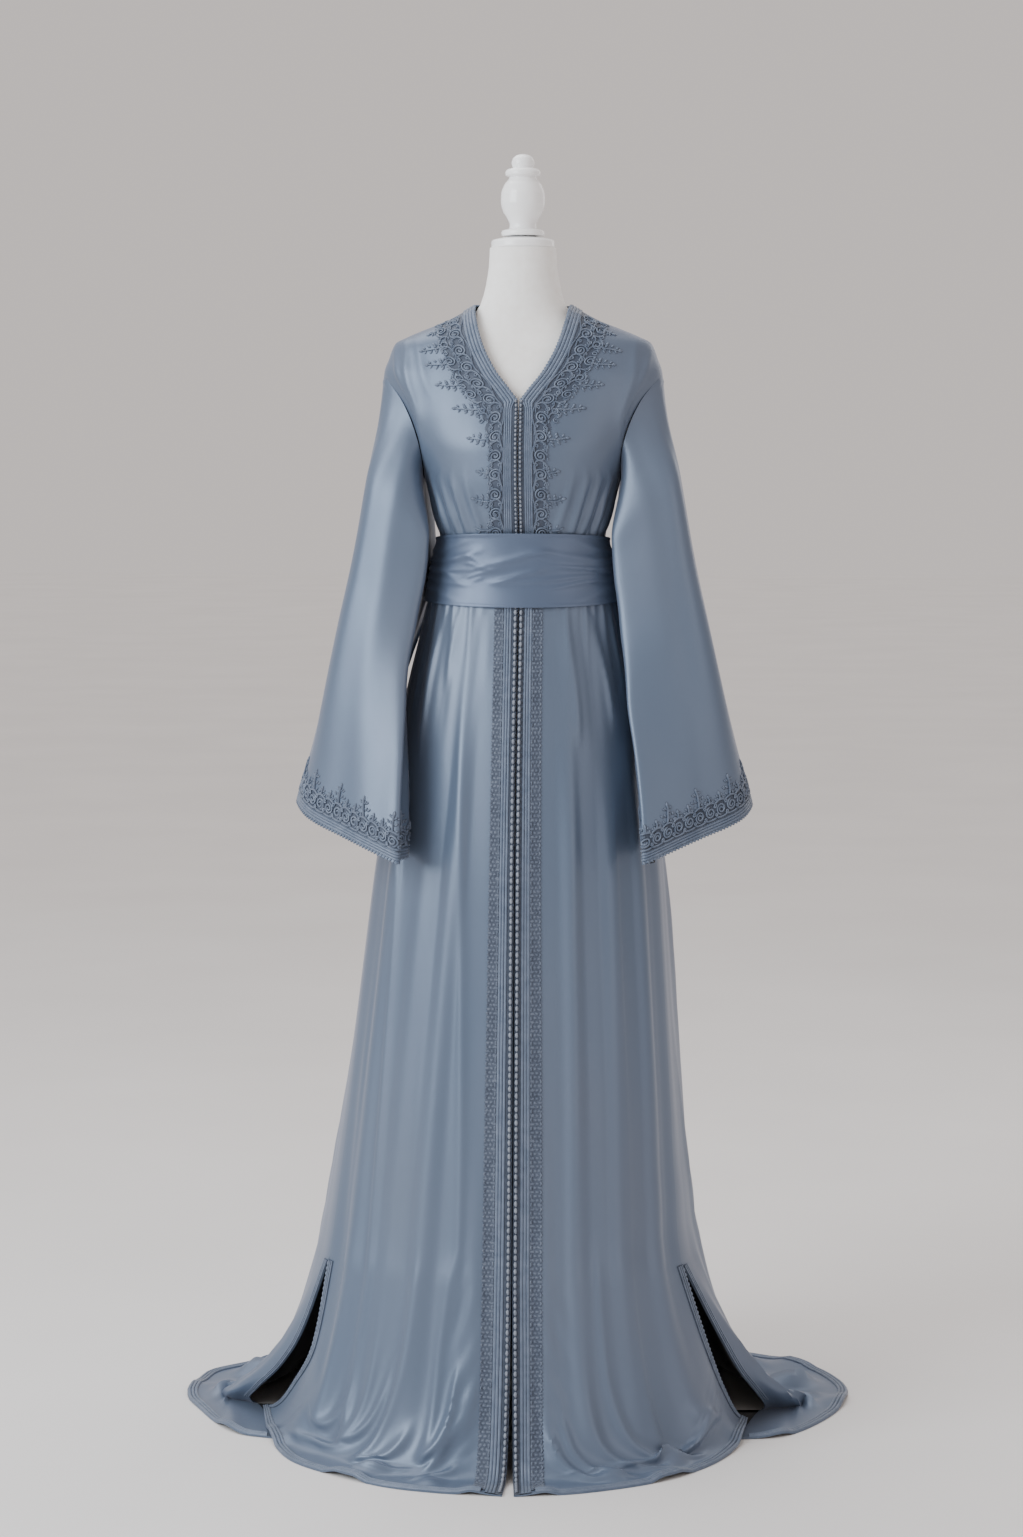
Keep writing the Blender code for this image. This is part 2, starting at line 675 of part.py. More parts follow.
def trim_piece(name, rows, normals, cells, reverse, thick, colour, rough, slide=None, gap=TRIM_GAP):
    """A raised band over chosen cells of a panel, its open edges drawn in a little."""
    used = {}
    for r, c in cells:
        for corner in ((r, c), (r, c + 1), (r + 1, c + 1), (r + 1, c)):
            used.setdefault(corner, []).append((r, c))
    points, outward, ids = [], [], {}
    for corner, owners in used.items():
        r, c = corner
        column_pull = 0
        row_pull = 0
        right = any(cell[1] == c for cell in owners)
        left = any(cell[1] == c - 1 for cell in owners)
        above = any(cell[0] == r for cell in owners)
        below = any(cell[0] == r - 1 for cell in owners)
        if right != left:
            column_pull = 0.0004 if right else -0.0004
        if above != below:
            row_pull = 0.0004 if above else -0.0004
        if slide and corner in slide:
            column_pull = -slide[corner]
        points.append(pulled(rows, r, c, row_pull, column_pull))
        outward.append(normals[key_of(rows[r][c])])
        ids[corner] = len(points) - 1
    faces = []
    for r, c in cells:
        quad = [ids[(r, c)], ids[(r, c + 1)], ids[(r + 1, c + 1)], ids[(r + 1, c)]]
        faces.append(tuple(reversed(quad)) if reverse else tuple(quad))
    low = 0.5 * WALL + gap
    thicken(name, points, outward, faces, low, low + thick, colour, rough)


def block(rows, columns):
    return [(r, c) for r in rows for c in columns]


def trims(grids, normals):
    sash_low = HEM_ROWS + BODY_ROWS.index(1.192)
    sash_high = HEM_ROWS + BODY_ROWS.index(1.27)
    for side_name in ("left", "right"):
        name = "front_" + side_name
        rows = grids[name]
        top = len(rows) - 1
        last = len(rows[0]) - 1
        left = side_name == "left"
        neck_row = ARM_ROW + 5
        trim_piece(
            "button_row_chest_" + side_name, rows, normals, block(range(sash_high, neck_row), (0,)), left,
            0.0022, BUTTON, 0.30,
        )
        trim_piece(
            "button_row_skirt_" + side_name, rows, normals, block(range(0, sash_low), (0,)), left,
            0.0022, BUTTON, 0.30,
        )
        trim_piece(
            "braid_neck_" + side_name, rows, normals,
            block(range(sash_high, top), (1,)) + block(range(neck_row, top), (0,)), left, TRIM, BRAID, 0.55,
        )
        trim_piece(
            "braid_skirt_" + side_name, rows, normals, block(range(0, sash_low), (1,)), left,
            TRIM, BRAID, 0.55,
        )
        trim_piece(
            "lace_skirt_" + side_name, rows, normals, block(range(1, sash_low), (2,)), left,
            0.0009, BRAID, 0.70,
        )
        cells, slide = embroidery_cells(rows, sash_high, top)
        trim_piece("embroidery_" + side_name, rows, normals, cells, left, 0.0014, BRAID, 0.70, slide, 0.0006)
        trim_piece(
            "hem_trim_front_" + side_name, rows, normals,
            block((0,), range(2, last)) + block(range(1, HEM_ROWS), (last - 1,)), left, TRIM, BRAID, 0.60,
        )
    for side_name in ("left", "right"):
        rows = grids["back_" + side_name]
        last = len(rows[0]) - 1
        under = last - 1
        cells = block((0,), range(0, under))
        cells += block(range(6, HEM_ROWS), (last - 1,))
        right = side_name == "right"
        trim_piece(
            "hem_trim_back_" + side_name, rows, normals, cells[:under], right, TRIM, BRAID, 0.60,
        )
        trim_piece(
            "slit_trim_back_" + side_name, rows, normals, cells[under:], right, TRIM, BRAID, 0.60,
        )


# Chest embroidery: columns covered a row from the sash up, and how far its outer points draw in
EMBROIDERY = (
    (2, 0.004), (2, 0.000), (3, 0.006), (2, 0.002), (2, 0.006), (3, 0.006), (2, 0.003), (3, 0.010),
    (3, 0.002), (4, 0.008), (3, 0.002), (4, 0.006), (3, 0.002), (4, 0.004), (3, 0.002), (3, 0.006),
)


def embroidery_cells(rows, first, top):
    cells = []
    slide = {}
    for r in range(first, top):
        count, draw = EMBROIDERY[min(r - first, len(EMBROIDERY) - 1)]
        for c in range(2, 2 + count):
            cells.append((r, c))
        slide[(r, 2 + count)] = draw + 0.0004
    filled = set(cells)
    for corner in list(slide):
        r, c = corner
        if (r - 1, c) in filled or (r, c) in filled:
            del slide[corner]
    return cells, slide


# Bands round the cuffs: name, first row from the edge, last row, thickness
def cuff_bands(grids, normals):
    for side_name in ("left", "right"):
        rows = grids["sleeve_" + side_name]
        count = len(rows)
        columns = len(rows[0])
        bands = (("cuff_braid_", count - 2, count - 1), ("cuff_embroidery_", count - 4, count - 2))
        for title, first, final in bands:
            points, outward = [], []
            for r in range(first, final + 1):
                for c in range(columns):
                    pull = 0.0004 if r == first else (-0.0004 if r == final else 0)
                    point = pulled(rows, r, c, pull, 0)
                    if title == "cuff_embroidery_" and r == first and c % 2 == 1:
                        point = point.lerp(rows[r + 1][c], 0.40)
                    points.append(point)
                    outward.append(normals[key_of(rows[r][c])])
            faces = []
            for r in range(final - first):
                for c in range(columns):
                    n = (c + 1) % columns
                    quad = (r * columns + c, r * columns + n, (r + 1) * columns + n, (r + 1) * columns + c)
                    faces.append(tuple(reversed(quad)) if side_name == "left" else quad)
            low = 0.5 * WALL + TRIM_GAP + (0.0011 if title == "cuff_embroidery_" else 0.0)
            thicken(title + side_name, points, outward, faces, low, low + 0.0013, BRAID, 0.65)


# The sash: height share from its lower edge, stand out at the sides, stand out at the centre
SASH_ROWS = (
    (0.00, 0.0000, 0.0000), (0.18, 0.0022, 0.0006), (0.35, 0.0004, 0.0000), (0.52, 0.0030, 0.0008),
    (0.68, 0.0004, 0.0006), (0.84, 0.0024, 0.0016), (1.00, 0.0014, 0.0034),
)
SASH_STAND = 0.0052


def sash():
    columns = 40
    rows = []
    for share, at_side, at_centre in SASH_ROWS:
        row = []
        for c in range(columns):
            angle = 2.0 * math.pi * c / columns
            side = 1 if angle <= math.pi else -1
            folded = angle if side > 0 else 2.0 * math.pi - angle
            ahead = math.cos(angle)
            low = 1.187 - 0.007 * max(0.0, ahead)
            high = 1.275 + 0.009 * max(0.0, ahead)
            z = low + (high - low) * share
            point = ring_point(folded, z, side)
            aside = abs(math.sin(angle)) ** 2.0
            stand = SASH_STAND + at_side * aside + at_centre * (1.0 - aside)
            away = Vector((point.x, point.y * 1.4, 0.0)).normalized()
            row.append(point + away * stand)
        rows.append(row)
    normals = shared_normals([(rows, True, False)])
    points = [point for row in rows for point in row]
    outward = [normals[key_of(point)] for point in points]
    faces = [tuple(r * columns + c for r, c in face) for face in grid_faces(rows, True)]
    thicken("sash", points, outward, faces, -0.001, 0.001, CLOTH, 0.32)


# The form's torso: height, half width, front depth, back depth
TORSO = (
    (0.840, 0.1500, 0.120, 0.125), (0.950, 0.1520, 0.122, 0.130), (1.050, 0.1380, 0.106, 0.112),
    (1.130, 0.1180, 0.090, 0.092), (1.200, 0.1020, 0.078, 0.078), (1.250, 0.1000, 0.078, 0.077),
    (1.310, 0.1120, 0.090, 0.083), (1.360, 0.1260, 0.106, 0.092), (1.400, 0.1400, 0.108, 0.095),
    (1.440, 0.1540, 0.099, 0.091), (1.480, 0.1650, 0.088, 0.086), (1.510, 0.1710, 0.077, 0.080),
    (1.533, 0.1676, 0.0692, 0.0745), (1.5475, 0.1545, 0.0643, 0.0698), (1.5615, 0.1265, 0.0594, 0.0648),
    (1.5750, 0.0976, 0.0552, 0.0597), (1.591, 0.0734, 0.0520, 0.0556), (1.612, 0.0600, 0.0505, 0.0525),
    (1.640, 0.0525, 0.0500, 0.0510), (1.668, 0.0485, 0.0480, 0.0485), (1.690, 0.0475, 0.0470, 0.0475),
)


def lathe(name, profile, columns, colour, rough):
    """A turned solid from a profile of radius and height, foot first."""
    points, faces = [], []
    for radius, z in profile:
        for c in range(columns):
            angle = 2.0 * math.pi * c / columns
            points.append(Vector((radius * math.sin(angle), -radius * math.cos(angle), z)))
    for r in range(len(profile) - 1):
        for c in range(columns):
            n = (c + 1) % columns
            faces.append((r * columns + c, r * columns + n, (r + 1) * columns + n, (r + 1) * columns + c))
    faces.append(tuple(reversed(range(columns))))
    faces.append(tuple(range((len(profile) - 1) * columns, len(profile) * columns)))
    return make_object(name, points, faces, colour, rough)


def dress_form():
    columns = 24
    points, faces = [], []
    for z, wide, ahead, behind in TORSO:
        for c in range(columns):
            angle = 2.0 * math.pi * c / columns
            deep = ahead if math.cos(angle) > 0 else behind
            points.append(Vector((wide * math.sin(angle), -deep * math.cos(angle), z)))
    for r in range(len(TORSO) - 1):
        for c in range(columns):
            n = (c + 1) % columns
            faces.append((r * columns + c, r * columns + n, (r + 1) * columns + n, (r + 1) * columns + c))
    faces.append(tuple(reversed(range(columns))))
    faces.append(tuple(range((len(TORSO) - 1) * columns, len(TORSO) * columns)))
    make_object("form_torso", points, faces, JERSEY, 0.85)
    cap = ((0.0445, 1.6904), (0.0455, 1.6920), (0.0455, 1.6985), (0.0440, 1.7010), (0.0180, 1.7065))
    lathe("form_neck_cap", cap, 24, GLOSS, 0.25)
    finial = (
        (0.0200, 1.7069), (0.0300, 1.7075), (0.0310, 1.7110), (0.0300, 1.7145), (0.0200, 1.7180),
        (0.0192, 1.7235), (0.0220, 1.7310), (0.0290, 1.7430), (0.0318, 1.7560), (0.0315, 1.7660),
        (0.0270, 1.7800), (0.0200, 1.7895), (0.0195, 1.7910), (0.0250, 1.7935), (0.0255, 1.7970),
        (0.0225, 1.8020), (0.0150, 1.8050), (0.0165, 1.8110), (0.0150, 1.8170), (0.0100, 1.8220),
        (0.0045, 1.8238),
    )
    lathe("form_finial", finial, 16, GLOSS, 0.20)
    lathe("form_pole", ((0.0130, 0.0204), (0.0130, 0.8396)), 16, GLOSS, 0.30)
    base = ((0.1700, 0.0), (0.1720, 0.0020), (0.1720, 0.0120), (0.1600, 0.0170), (0.0300, 0.0200))
    lathe("form_base", base, 24, GLOSS, 0.30)


def build():
    grids = {}
    for name in ("front_left", "front_right", "back_left", "back_right"):
        grids[name] = panel_grid(name)
    for side, side_name in ((-1, "left"), (1, "right")):
        grids["sleeve_" + side_name] = sleeve_grid(
            side, grids["front_" + side_name], grids["back_" + side_name]
        )
    flips = {
        "front_left": True, "front_right": False, "back_left": False, "back_right": True,
        "sleeve_left": True, "sleeve_right": False,
    }
    together = []
    for name, rows in grids.items():
        together.append((rows, name.startswith("sleeve"), flips[name]))
    normals = shared_normals(together)
    cloth_pieces(grids, normals)
    trims(grids, normals)
    cuff_bands(grids, normals)
    sash()
    dress_form()


build()
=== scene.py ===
import math

import bpy
import numpy as np
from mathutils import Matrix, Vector


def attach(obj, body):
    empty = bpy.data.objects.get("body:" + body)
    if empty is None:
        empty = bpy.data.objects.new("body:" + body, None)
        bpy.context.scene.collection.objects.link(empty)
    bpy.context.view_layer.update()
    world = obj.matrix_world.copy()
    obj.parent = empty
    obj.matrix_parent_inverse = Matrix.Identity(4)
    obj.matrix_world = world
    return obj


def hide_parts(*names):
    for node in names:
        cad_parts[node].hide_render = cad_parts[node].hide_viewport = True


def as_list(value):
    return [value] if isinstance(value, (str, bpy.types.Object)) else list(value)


# Kaftan with a sash on a limbless dress form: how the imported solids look.
# Metres, +Z up, the front faces -Y. Every surface follows the solids' own rings and outlines.
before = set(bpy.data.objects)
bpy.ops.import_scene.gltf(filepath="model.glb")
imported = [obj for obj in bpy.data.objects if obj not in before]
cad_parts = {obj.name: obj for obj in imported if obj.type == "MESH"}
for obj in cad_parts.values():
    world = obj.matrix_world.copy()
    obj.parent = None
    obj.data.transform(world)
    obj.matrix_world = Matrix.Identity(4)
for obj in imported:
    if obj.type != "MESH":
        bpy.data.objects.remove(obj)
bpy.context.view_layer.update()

# Heights of the cloth and distances from its middle, then bands and edges
WALL = 0.0020
FLOOR_LEAST = 0.5 * WALL
SPLIT = 0.255
SEAM_LOW = 1.182
SEAM_HIGH = 1.276
SASH_LOW = 1.192
WAIST = 1.232
SASH_HIGH = 1.268
GATHER_FOOT = 1.272
UNDERARM = 1.36
ARM_TOP = 1.51
ARM_OUT = 0.199
NECK_POINT = 1.470
NECK_SIDE = 0.068
NECK_TOP = 1.608
BACK_NECK = 1.594
ARM_SWING = math.radians(28)
EDGE = 0.0008
HEM_BAND = 0.016
SLIT_BAND = 0.013

# The placket's bands widen below the waist: by what share, from which height, over which drop
HEM_GROWTH = 0.26
GROWTH_TOP = 1.18
GROWTH_RUN = 1.1

# Where the flare first touches the floor, as a share of the way out, and how sharply it bends
FLARE = {"front": (0.88, 3.7), "back": (0.86, 5.0)}

# Share of the upper rows that the centre line takes before the neckline starts
CENTRE_SHARE = {"front": 0.42, "back": 0.80}

# Rings of the cloth: height, half width left, half width right, front depth, back depth
RINGS = np.array((
    (0.255, 0.2980, 0.2560, 0.252, 0.264),
    (0.300, 0.2890, 0.2470, 0.244, 0.254),
    (0.341, 0.2815, 0.2430, 0.239, 0.248),
    (0.399, 0.2715, 0.2360, 0.233, 0.241),
    (0.457, 0.2620, 0.2310, 0.227, 0.235),
    (0.573, 0.2455, 0.2210, 0.214, 0.223),
    (0.689, 0.2305, 0.2125, 0.202, 0.211),
    (0.805, 0.2145, 0.2035, 0.189, 0.197),
    (0.950, 0.1870, 0.1820, 0.163, 0.168),
    (1.060, 0.1660, 0.1640, 0.138, 0.138),
    (1.130, 0.1490, 0.1480, 0.118, 0.114),
    (1.182, 0.1370, 0.1370, 0.104, 0.100),
    (1.230, 0.1240, 0.1240, 0.094, 0.090),
    (1.276, 0.1180, 0.1180, 0.095, 0.088),
    (1.312, 0.1270, 0.1270, 0.106, 0.094),
    (1.360, 0.1400, 0.1400, 0.119, 0.102),
    (1.400, 0.1560, 0.1560, 0.120, 0.104),
    (1.440, 0.1730, 0.1730, 0.110, 0.102),
    (1.470, 0.1850, 0.1850, 0.101, 0.099),
    (1.510, 0.1990, 0.1990, 0.089, 0.092),
    (1.530, 0.1925, 0.1925, 0.082, 0.087),
    (1.553, 0.1830, 0.1830, 0.075, 0.080),
    (1.5630, 0.1640, 0.1640, 0.071, 0.076),
    (1.5738, 0.1380, 0.1380, 0.067, 0.072),
    (1.5853, 0.1090, 0.1090, 0.063, 0.068),
    (1.608, 0.0680, 0.0680, 0.058, 0.062),
))

# Side seam's place round the ring: height, degrees from the front centre
SIDE_SEAM = np.array((
    (0.255, 64.0), (0.39, 67.0), (0.56, 70.0), (0.80, 72.5), (1.00, 79.0),
    (1.18, 87.0), (1.28, 90.0), (1.36, 90.0),
))

# Front neckline in front view: distance out, height
NECK_FRONT = (
    (EDGE, NECK_POINT), (0.016, 1.490), (0.033, 1.512), (0.053, 1.551), (0.064, 1.588),
    (NECK_SIDE, NECK_TOP),
)

# Hem outlines on the floor, centre to slit corner: x, y
HEMS = {
    "front_left": (
        (-0.006, -0.364), (-0.080, -0.358), (-0.150, -0.343), (-0.220, -0.307),
        (-0.313, -0.229), (-0.358, -0.116), (-0.378, -0.016),
    ),
    "front_right": (
        (0.010, -0.364), (0.070, -0.354), (0.132, -0.332), (0.214, -0.284),
        (0.288, -0.194), (0.318, -0.110), (0.3252, -0.031),
    ),
    "back_left": (
        (0.0, 0.420), (-0.170, 0.395), (-0.300, 0.320), (-0.3834, 0.2571), (-0.4458, 0.2122),
        (-0.4919, 0.1633), (-0.5037, 0.0694), (-0.4686, -0.0206), (-0.3941, -0.1253), (-0.3440, -0.1400),
    ),
    "back_right": (
        (0.0, 0.420), (0.150, 0.405), (0.240, 0.372), (0.3095, 0.3295), (0.3929, 0.2840),
        (0.4513, 0.2209), (0.4765, 0.1373), (0.4683, 0.0747), (0.4281, -0.0209), (0.3623, -0.0921),
        (0.3150, -0.1000),
    ),
}

# Slit edges from the top of the slit to the hem corner: x, y, z
SLITS = {
    "front_left": (
        (-0.2924, -0.1080, 0.127), (-0.3233, -0.0720, 0.064), (-0.3560, -0.0380, 0.018),
        (-0.3780, -0.0160, 0.0068),
    ),
    "front_right": (
        (0.2690, -0.0870, 0.127), (0.2900, -0.0640, 0.064), (0.3120, -0.0430, 0.018),
        (0.3252, -0.0310, 0.0068),
    ),
    "back_left": (
        (-0.3150, -0.0790, 0.130), (-0.3480, -0.0500, 0.077), (-0.3850, -0.0220, 0.036),
        (-0.4010, 0.0080, 0.012), (-0.3960, 0.0220, 0.0012), (-0.3760, -0.0200, 0.0010),
        (-0.3560, -0.0850, 0.0010), (-0.3440, -0.1400, 0.0010),
    ),
    "back_right": (
        (0.2860, -0.0540, 0.130), (0.3130, -0.0320, 0.077), (0.3400, -0.0060, 0.036),
        (0.3510, 0.0220, 0.012), (0.3480, 0.0380, 0.0012), (0.3330, -0.0060, 0.0010),
        (0.3220, -0.0560, 0.0010), (0.3150, -0.1000, 0.0010),
    ),
}

# Sleeve lines: along, outer x y z, inner x y z, half depth, lean of the front edge
SLEEVE = np.array((
    (0.00, 0.1990, 0.000, 1.510, 0.1400, 0.000, 1.360, 0.056, 0.000),
    (0.12, 0.2060, 0.000, 1.445, 0.1400, 0.002, 1.318, 0.060, 0.014),
    (0.25, 0.2185, -0.002, 1.370, 0.1390, 0.000, 1.262, 0.063, 0.024),
    (0.40, 0.2370, -0.004, 1.250, 0.1440, -0.015, 1.165, 0.062, 0.020),
    (0.55, 0.2575, -0.010, 1.145, 0.1560, -0.050, 1.080, 0.057, 0.010),
    (0.70, 0.2790, -0.020, 1.048, 0.1640, -0.092, 0.995, 0.051, 0.004),
    (0.85, 0.2995, -0.030, 0.973, 0.1690, -0.130, 0.912, 0.045, 0.000),
    (1.00, 0.3205, -0.040, 0.901, 0.1715, -0.156, 0.830, 0.041, 0.000),
))

# How much the sleeves' lines stand further out on each side: outer line, inner line
SLEEVE_OUT = {-1: (-0.0060, -0.0130), 1: (0.0010, 0.0130)}

# Main folds in the skirt: place at the waist, place at the hem, top, height, half width
SKIRT_FOLDS = {
    "front_left": (
        (0.30, 0.42, 1.10, 0.0100, 0.085), (0.52, 0.60, 0.95, 0.0045, 0.080),
        (0.76, 0.80, 1.05, 0.0100, 0.080), (0.16, 0.17, 0.50, 0.0060, 0.060),
    ),
    "front_right": (
        (0.30, 0.33, 1.10, 0.0070, 0.080), (0.55, 0.56, 1.00, 0.0075, 0.075),
        (0.78, 0.80, 1.05, 0.0075, 0.080), (0.15, 0.16, 0.55, 0.0050, 0.060),
    ),
    "back_left": (
        (0.14, 0.13, 1.05, 0.0100, 0.090), (0.42, 0.38, 1.05, 0.0110, 0.100),
        (0.72, 0.64, 1.00, 0.0100, 0.100),
    ),
    "back_right": (
        (0.16, 0.15, 1.05, 0.0100, 0.090), (0.44, 0.41, 1.05, 0.0110, 0.100),
        (0.74, 0.67, 1.00, 0.0100, 0.100),
    ),
}

# How much of a fold's and of a gather's height shows, and how far the cloth sinks beside a fold
FOLD_CALM = 0.60
GATHER_CALM = 0.18
FOLD_SINK = 0.20

# Gathers above and below the sash: place from centre to side, height below, height above, half width
GATHERS = (
    (0.30, 0.0045, 0.0035, 0.050), (0.42, 0.0050, 0.0045, 0.050), (0.54, 0.0040, 0.0040, 0.050),
    (0.66, 0.0050, 0.0045, 0.050), (0.78, 0.0045, 0.0045, 0.050), (0.89, 0.0030, 0.0030, 0.045),
)

# Folds where the cloth lies on the floor: place along the hem, place out, height, half widths
POOL_FOLDS = {
    "front_left": (
        (0.42, 0.66, 0.0120, 0.07, 0.20), (0.80, 0.60, 0.0100, 0.07, 0.20),
        (0.22, 0.74, 0.0060, 0.06, 0.16),
    ),
    "front_right": (
        (0.33, 0.68, 0.0100, 0.07, 0.20), (0.58, 0.64, 0.0110, 0.07, 0.20),
        (0.80, 0.60, 0.0080, 0.06, 0.20),
    ),
    "back_left": (
        (0.13, 0.62, 0.0110, 0.07, 0.30), (0.38, 0.66, 0.0130, 0.07, 0.30),
        (0.56, 0.66, 0.0150, 0.06, 0.28), (0.74, 0.66, 0.0130, 0.06, 0.26),
    ),
    "back_right": (
        (0.15, 0.62, 0.0110, 0.07, 0.30), (0.41, 0.66, 0.0130, 0.07, 0.30),
        (0.60, 0.66, 0.0140, 0.06, 0.28), (0.77, 0.66, 0.0120, 0.06, 0.26),
    ),
}

# The solids' columns from the centre edge, and how far apart the looks' rows and columns stand
CENTRE_COLUMNS = (0.0, 0.008, 0.019, 0.034, 0.050, 0.070, 0.092)
FRONT_MIDDLE = 11
BACK_COLUMNS = 13
FINE_ANGLES = 120
FRONT_MARKS = np.concatenate([
    np.linspace(0, 4, 17), np.linspace(4, 6, 15)[1:], np.linspace(6, 17, 80)[1:], (17.33, 17.67, 18.0),
])
BACK_MARKS = np.concatenate([np.linspace(0, 12, 57), (12.33, 12.67, 13.0)])
FLARE_MARKS = np.concatenate([np.linspace(2.0, 1.0, 4), np.linspace(1.0, 0.0, 74)[1:-1]])
BODY_MARKS = np.concatenate([np.linspace(SPLIT, 1.165, 60), np.linspace(1.165, 1.352, 46)[1:]])
UPPER_MARKS = np.linspace(0.0, 1.0, 34)
ARM_ROW = len(FLARE_MARKS) + len(BODY_MARKS)
SLEEVE_TURNS = 108
SLEEVE_MARKS = np.concatenate([
    np.linspace(0.0, 0.06, 7), np.linspace(0.06, 0.90, 84)[1:], np.linspace(0.90, 1.0, 19)[1:],
])


def smooth(value):
    value = np.clip(value, 0.0, 1.0)
    return value * value * (3.0 - 2.0 * value)


def bump(distance, half):
    return 0.5 + 0.5 * np.cos(np.pi * np.minimum(1.0, np.abs(distance) / half))


def between(value, start, rise, end, fall):
    """Rises softly from 0 to 1 after the start and falls back to 0 after the end."""
    return smooth((value - start) / rise) * (1.0 - smooth((value - end) / fall))


def steady(xs, ys, x):
    """A smooth curve through a table that makes no bumps of its own."""
    xs = np.asarray(xs, float)
    ys = np.asarray(ys, float)
    x = np.clip(np.asarray(x, float), xs[0], xs[-1])
    place = np.clip(np.searchsorted(xs, x) - 1, 0, len(xs) - 2)
    rise = np.diff(ys) / np.diff(xs)
    slope = np.empty(len(xs))
    slope[0] = rise[0]
    slope[-1] = rise[-1]
    both = rise[:-1] * rise[1:]
    total = np.where(both > 0.0, rise[:-1] + rise[1:], 1.0)
    slope[1:-1] = np.where(both > 0.0, 2.0 * both / total, 0.0)
    step = xs[place + 1] - xs[place]
    t = (x - xs[place]) / step
    return (
        ys[place] * (2 * t ** 3 - 3 * t ** 2 + 1)
        + slope[place] * step * (t ** 3 - 2 * t ** 2 + t)
        + ys[place + 1] * (3 * t ** 2 - 2 * t ** 3)
        + slope[place + 1] * step * (t ** 3 - t ** 2)
    )


def half_width(z, side):
    return steady(RINGS[:, 0], RINGS[:, 1 if side < 0 else 2], z)


def ring_depth(ahead, z):
    front = steady(RINGS[:, 0], RINGS[:, 3], z)
    back = steady(RINGS[:, 0], RINGS[:, 4], z)
    return np.where(ahead, front, back)


def ring_points(angle, z, side):
    angle = np.asarray(angle, float)
    z = np.broadcast_to(np.asarray(z, float), angle.shape)
    x = side * half_width(z, side) * np.sin(angle)
    y = -ring_depth(np.cos(angle) > 0, z) * np.cos(angle)
    return np.stack([x, y, z], axis=-1)


def lengths_along(points):
    steps = np.linalg.norm(np.diff(points, axis=0), axis=1)
    return np.concatenate([[0.0], np.cumsum(steps)])


def row_lengths(points):
    """How far along its row each point of a grid stands."""
    steps = np.linalg.norm(np.diff(points, axis=1), axis=2)
    return np.concatenate([np.zeros((len(points), 1)), np.cumsum(steps, axis=1)], axis=1)


def unit(vectors):
    return vectors / np.maximum(np.linalg.norm(vectors, axis=-1), 1e-9)[..., None]


def level(vectors):
    """The vectors' level directions, each one long."""
    return unit(vectors * (1.0, 1.0, 0.0))


def walk(points, shares):
    """Points at given shares of a polyline's length."""
    marks = lengths_along(points)
    want = np.asarray(shares, float) * marks[-1]
    return np.stack([np.interp(want, marks, points[:, axis]) for axis in range(points.shape[1])], axis=-1)


def curve_through(points, count):
    """A smooth curve through given points, as a fine polyline."""
    points = np.array(points, float)
    marks = lengths_along(points)
    at = np.linspace(0.0, marks[-1], count + 1)
    return np.stack([steady(marks, points[:, axis], at) for axis in range(points.shape[1])], axis=-1)


NECK_LINE = curve_through([(x, 0.0, z) for x, z in NECK_FRONT], 120)


def upper_left(panel, side, v):
    """Centre edge above the underarm as angle and height: centre line, then neckline."""
    rise = CENTRE_SHARE[panel]
    share = (v - rise) / (1.0 - rise)
    if panel == "front":
        if v <= rise:
            z = UNDERARM + (NECK_POINT - UNDERARM) * v / rise
            return math.asin(EDGE / half_width(z, side)), z
        at = walk(NECK_LINE, [share])[0]
        return math.asin(min(1.0, at[0] / half_width(at[2], side))), at[2]
    if v <= rise:
        return math.pi, UNDERARM + (BACK_NECK - UNDERARM) * v / rise
    return math.pi - 0.5 * math.pi * share, BACK_NECK + (NECK_TOP - BACK_NECK) * share ** 2


def upper_right(panel, v):
    swing = ARM_SWING * math.sin(math.pi * v)
    z = UNDERARM + (ARM_TOP - UNDERARM) * 0.5 * (1.0 - math.cos(math.pi * v))
    if panel == "front":
        return 0.5 * math.pi - swing, z
    return 0.5 * math.pi + swing, z


def shoulder_heights(us, side):
    """Heights on the shoulder line at even shares of its width."""
    fine = np.linspace(NECK_TOP, ARM_TOP, 400)
    return np.interp(NECK_SIDE + (ARM_OUT - NECK_SIDE) * us, half_width(fine, side), fine)


def upper_row(panel, side, v):
    """A row between the underarm and the shoulder line, blended from the patch's four edges."""
    us = np.linspace(0.0, 1.0, FINE_ANGLES + 1)
    left = upper_left(panel, side, v)
    right = upper_right(panel, v)
    start = upper_left(panel, side, 0.0)
    turned = 0.5 * math.pi
    feet = (start[0] + (turned - start[0]) * us, UNDERARM)
    heads = (turned, shoulder_heights(us, side))
    corners = (start, (turned, UNDERARM), (turned, NECK_TOP), (turned, ARM_TOP))
    found = []
    for axis in range(2):
        found.append(
            (1 - v) * feet[axis] + v * heads[axis] + (1 - us) * left[axis] + us * right[axis]
            - (1 - us) * (1 - v) * corners[0][axis] - us * (1 - v) * corners[1][axis]
            - (1 - us) * v * corners[2][axis] - us * v * corners[3][axis]
        )
    return ring_points(found[0], found[1], side)


def body_row(panel, side, z):
    start = math.asin(EDGE / half_width(z, side)) if panel == "front" else math.pi
    stop = math.radians(float(steady(SIDE_SEAM[:, 0], SIDE_SEAM[:, 1], z)))
    return ring_points(np.linspace(start, stop, FINE_ANGLES + 1), z, side)


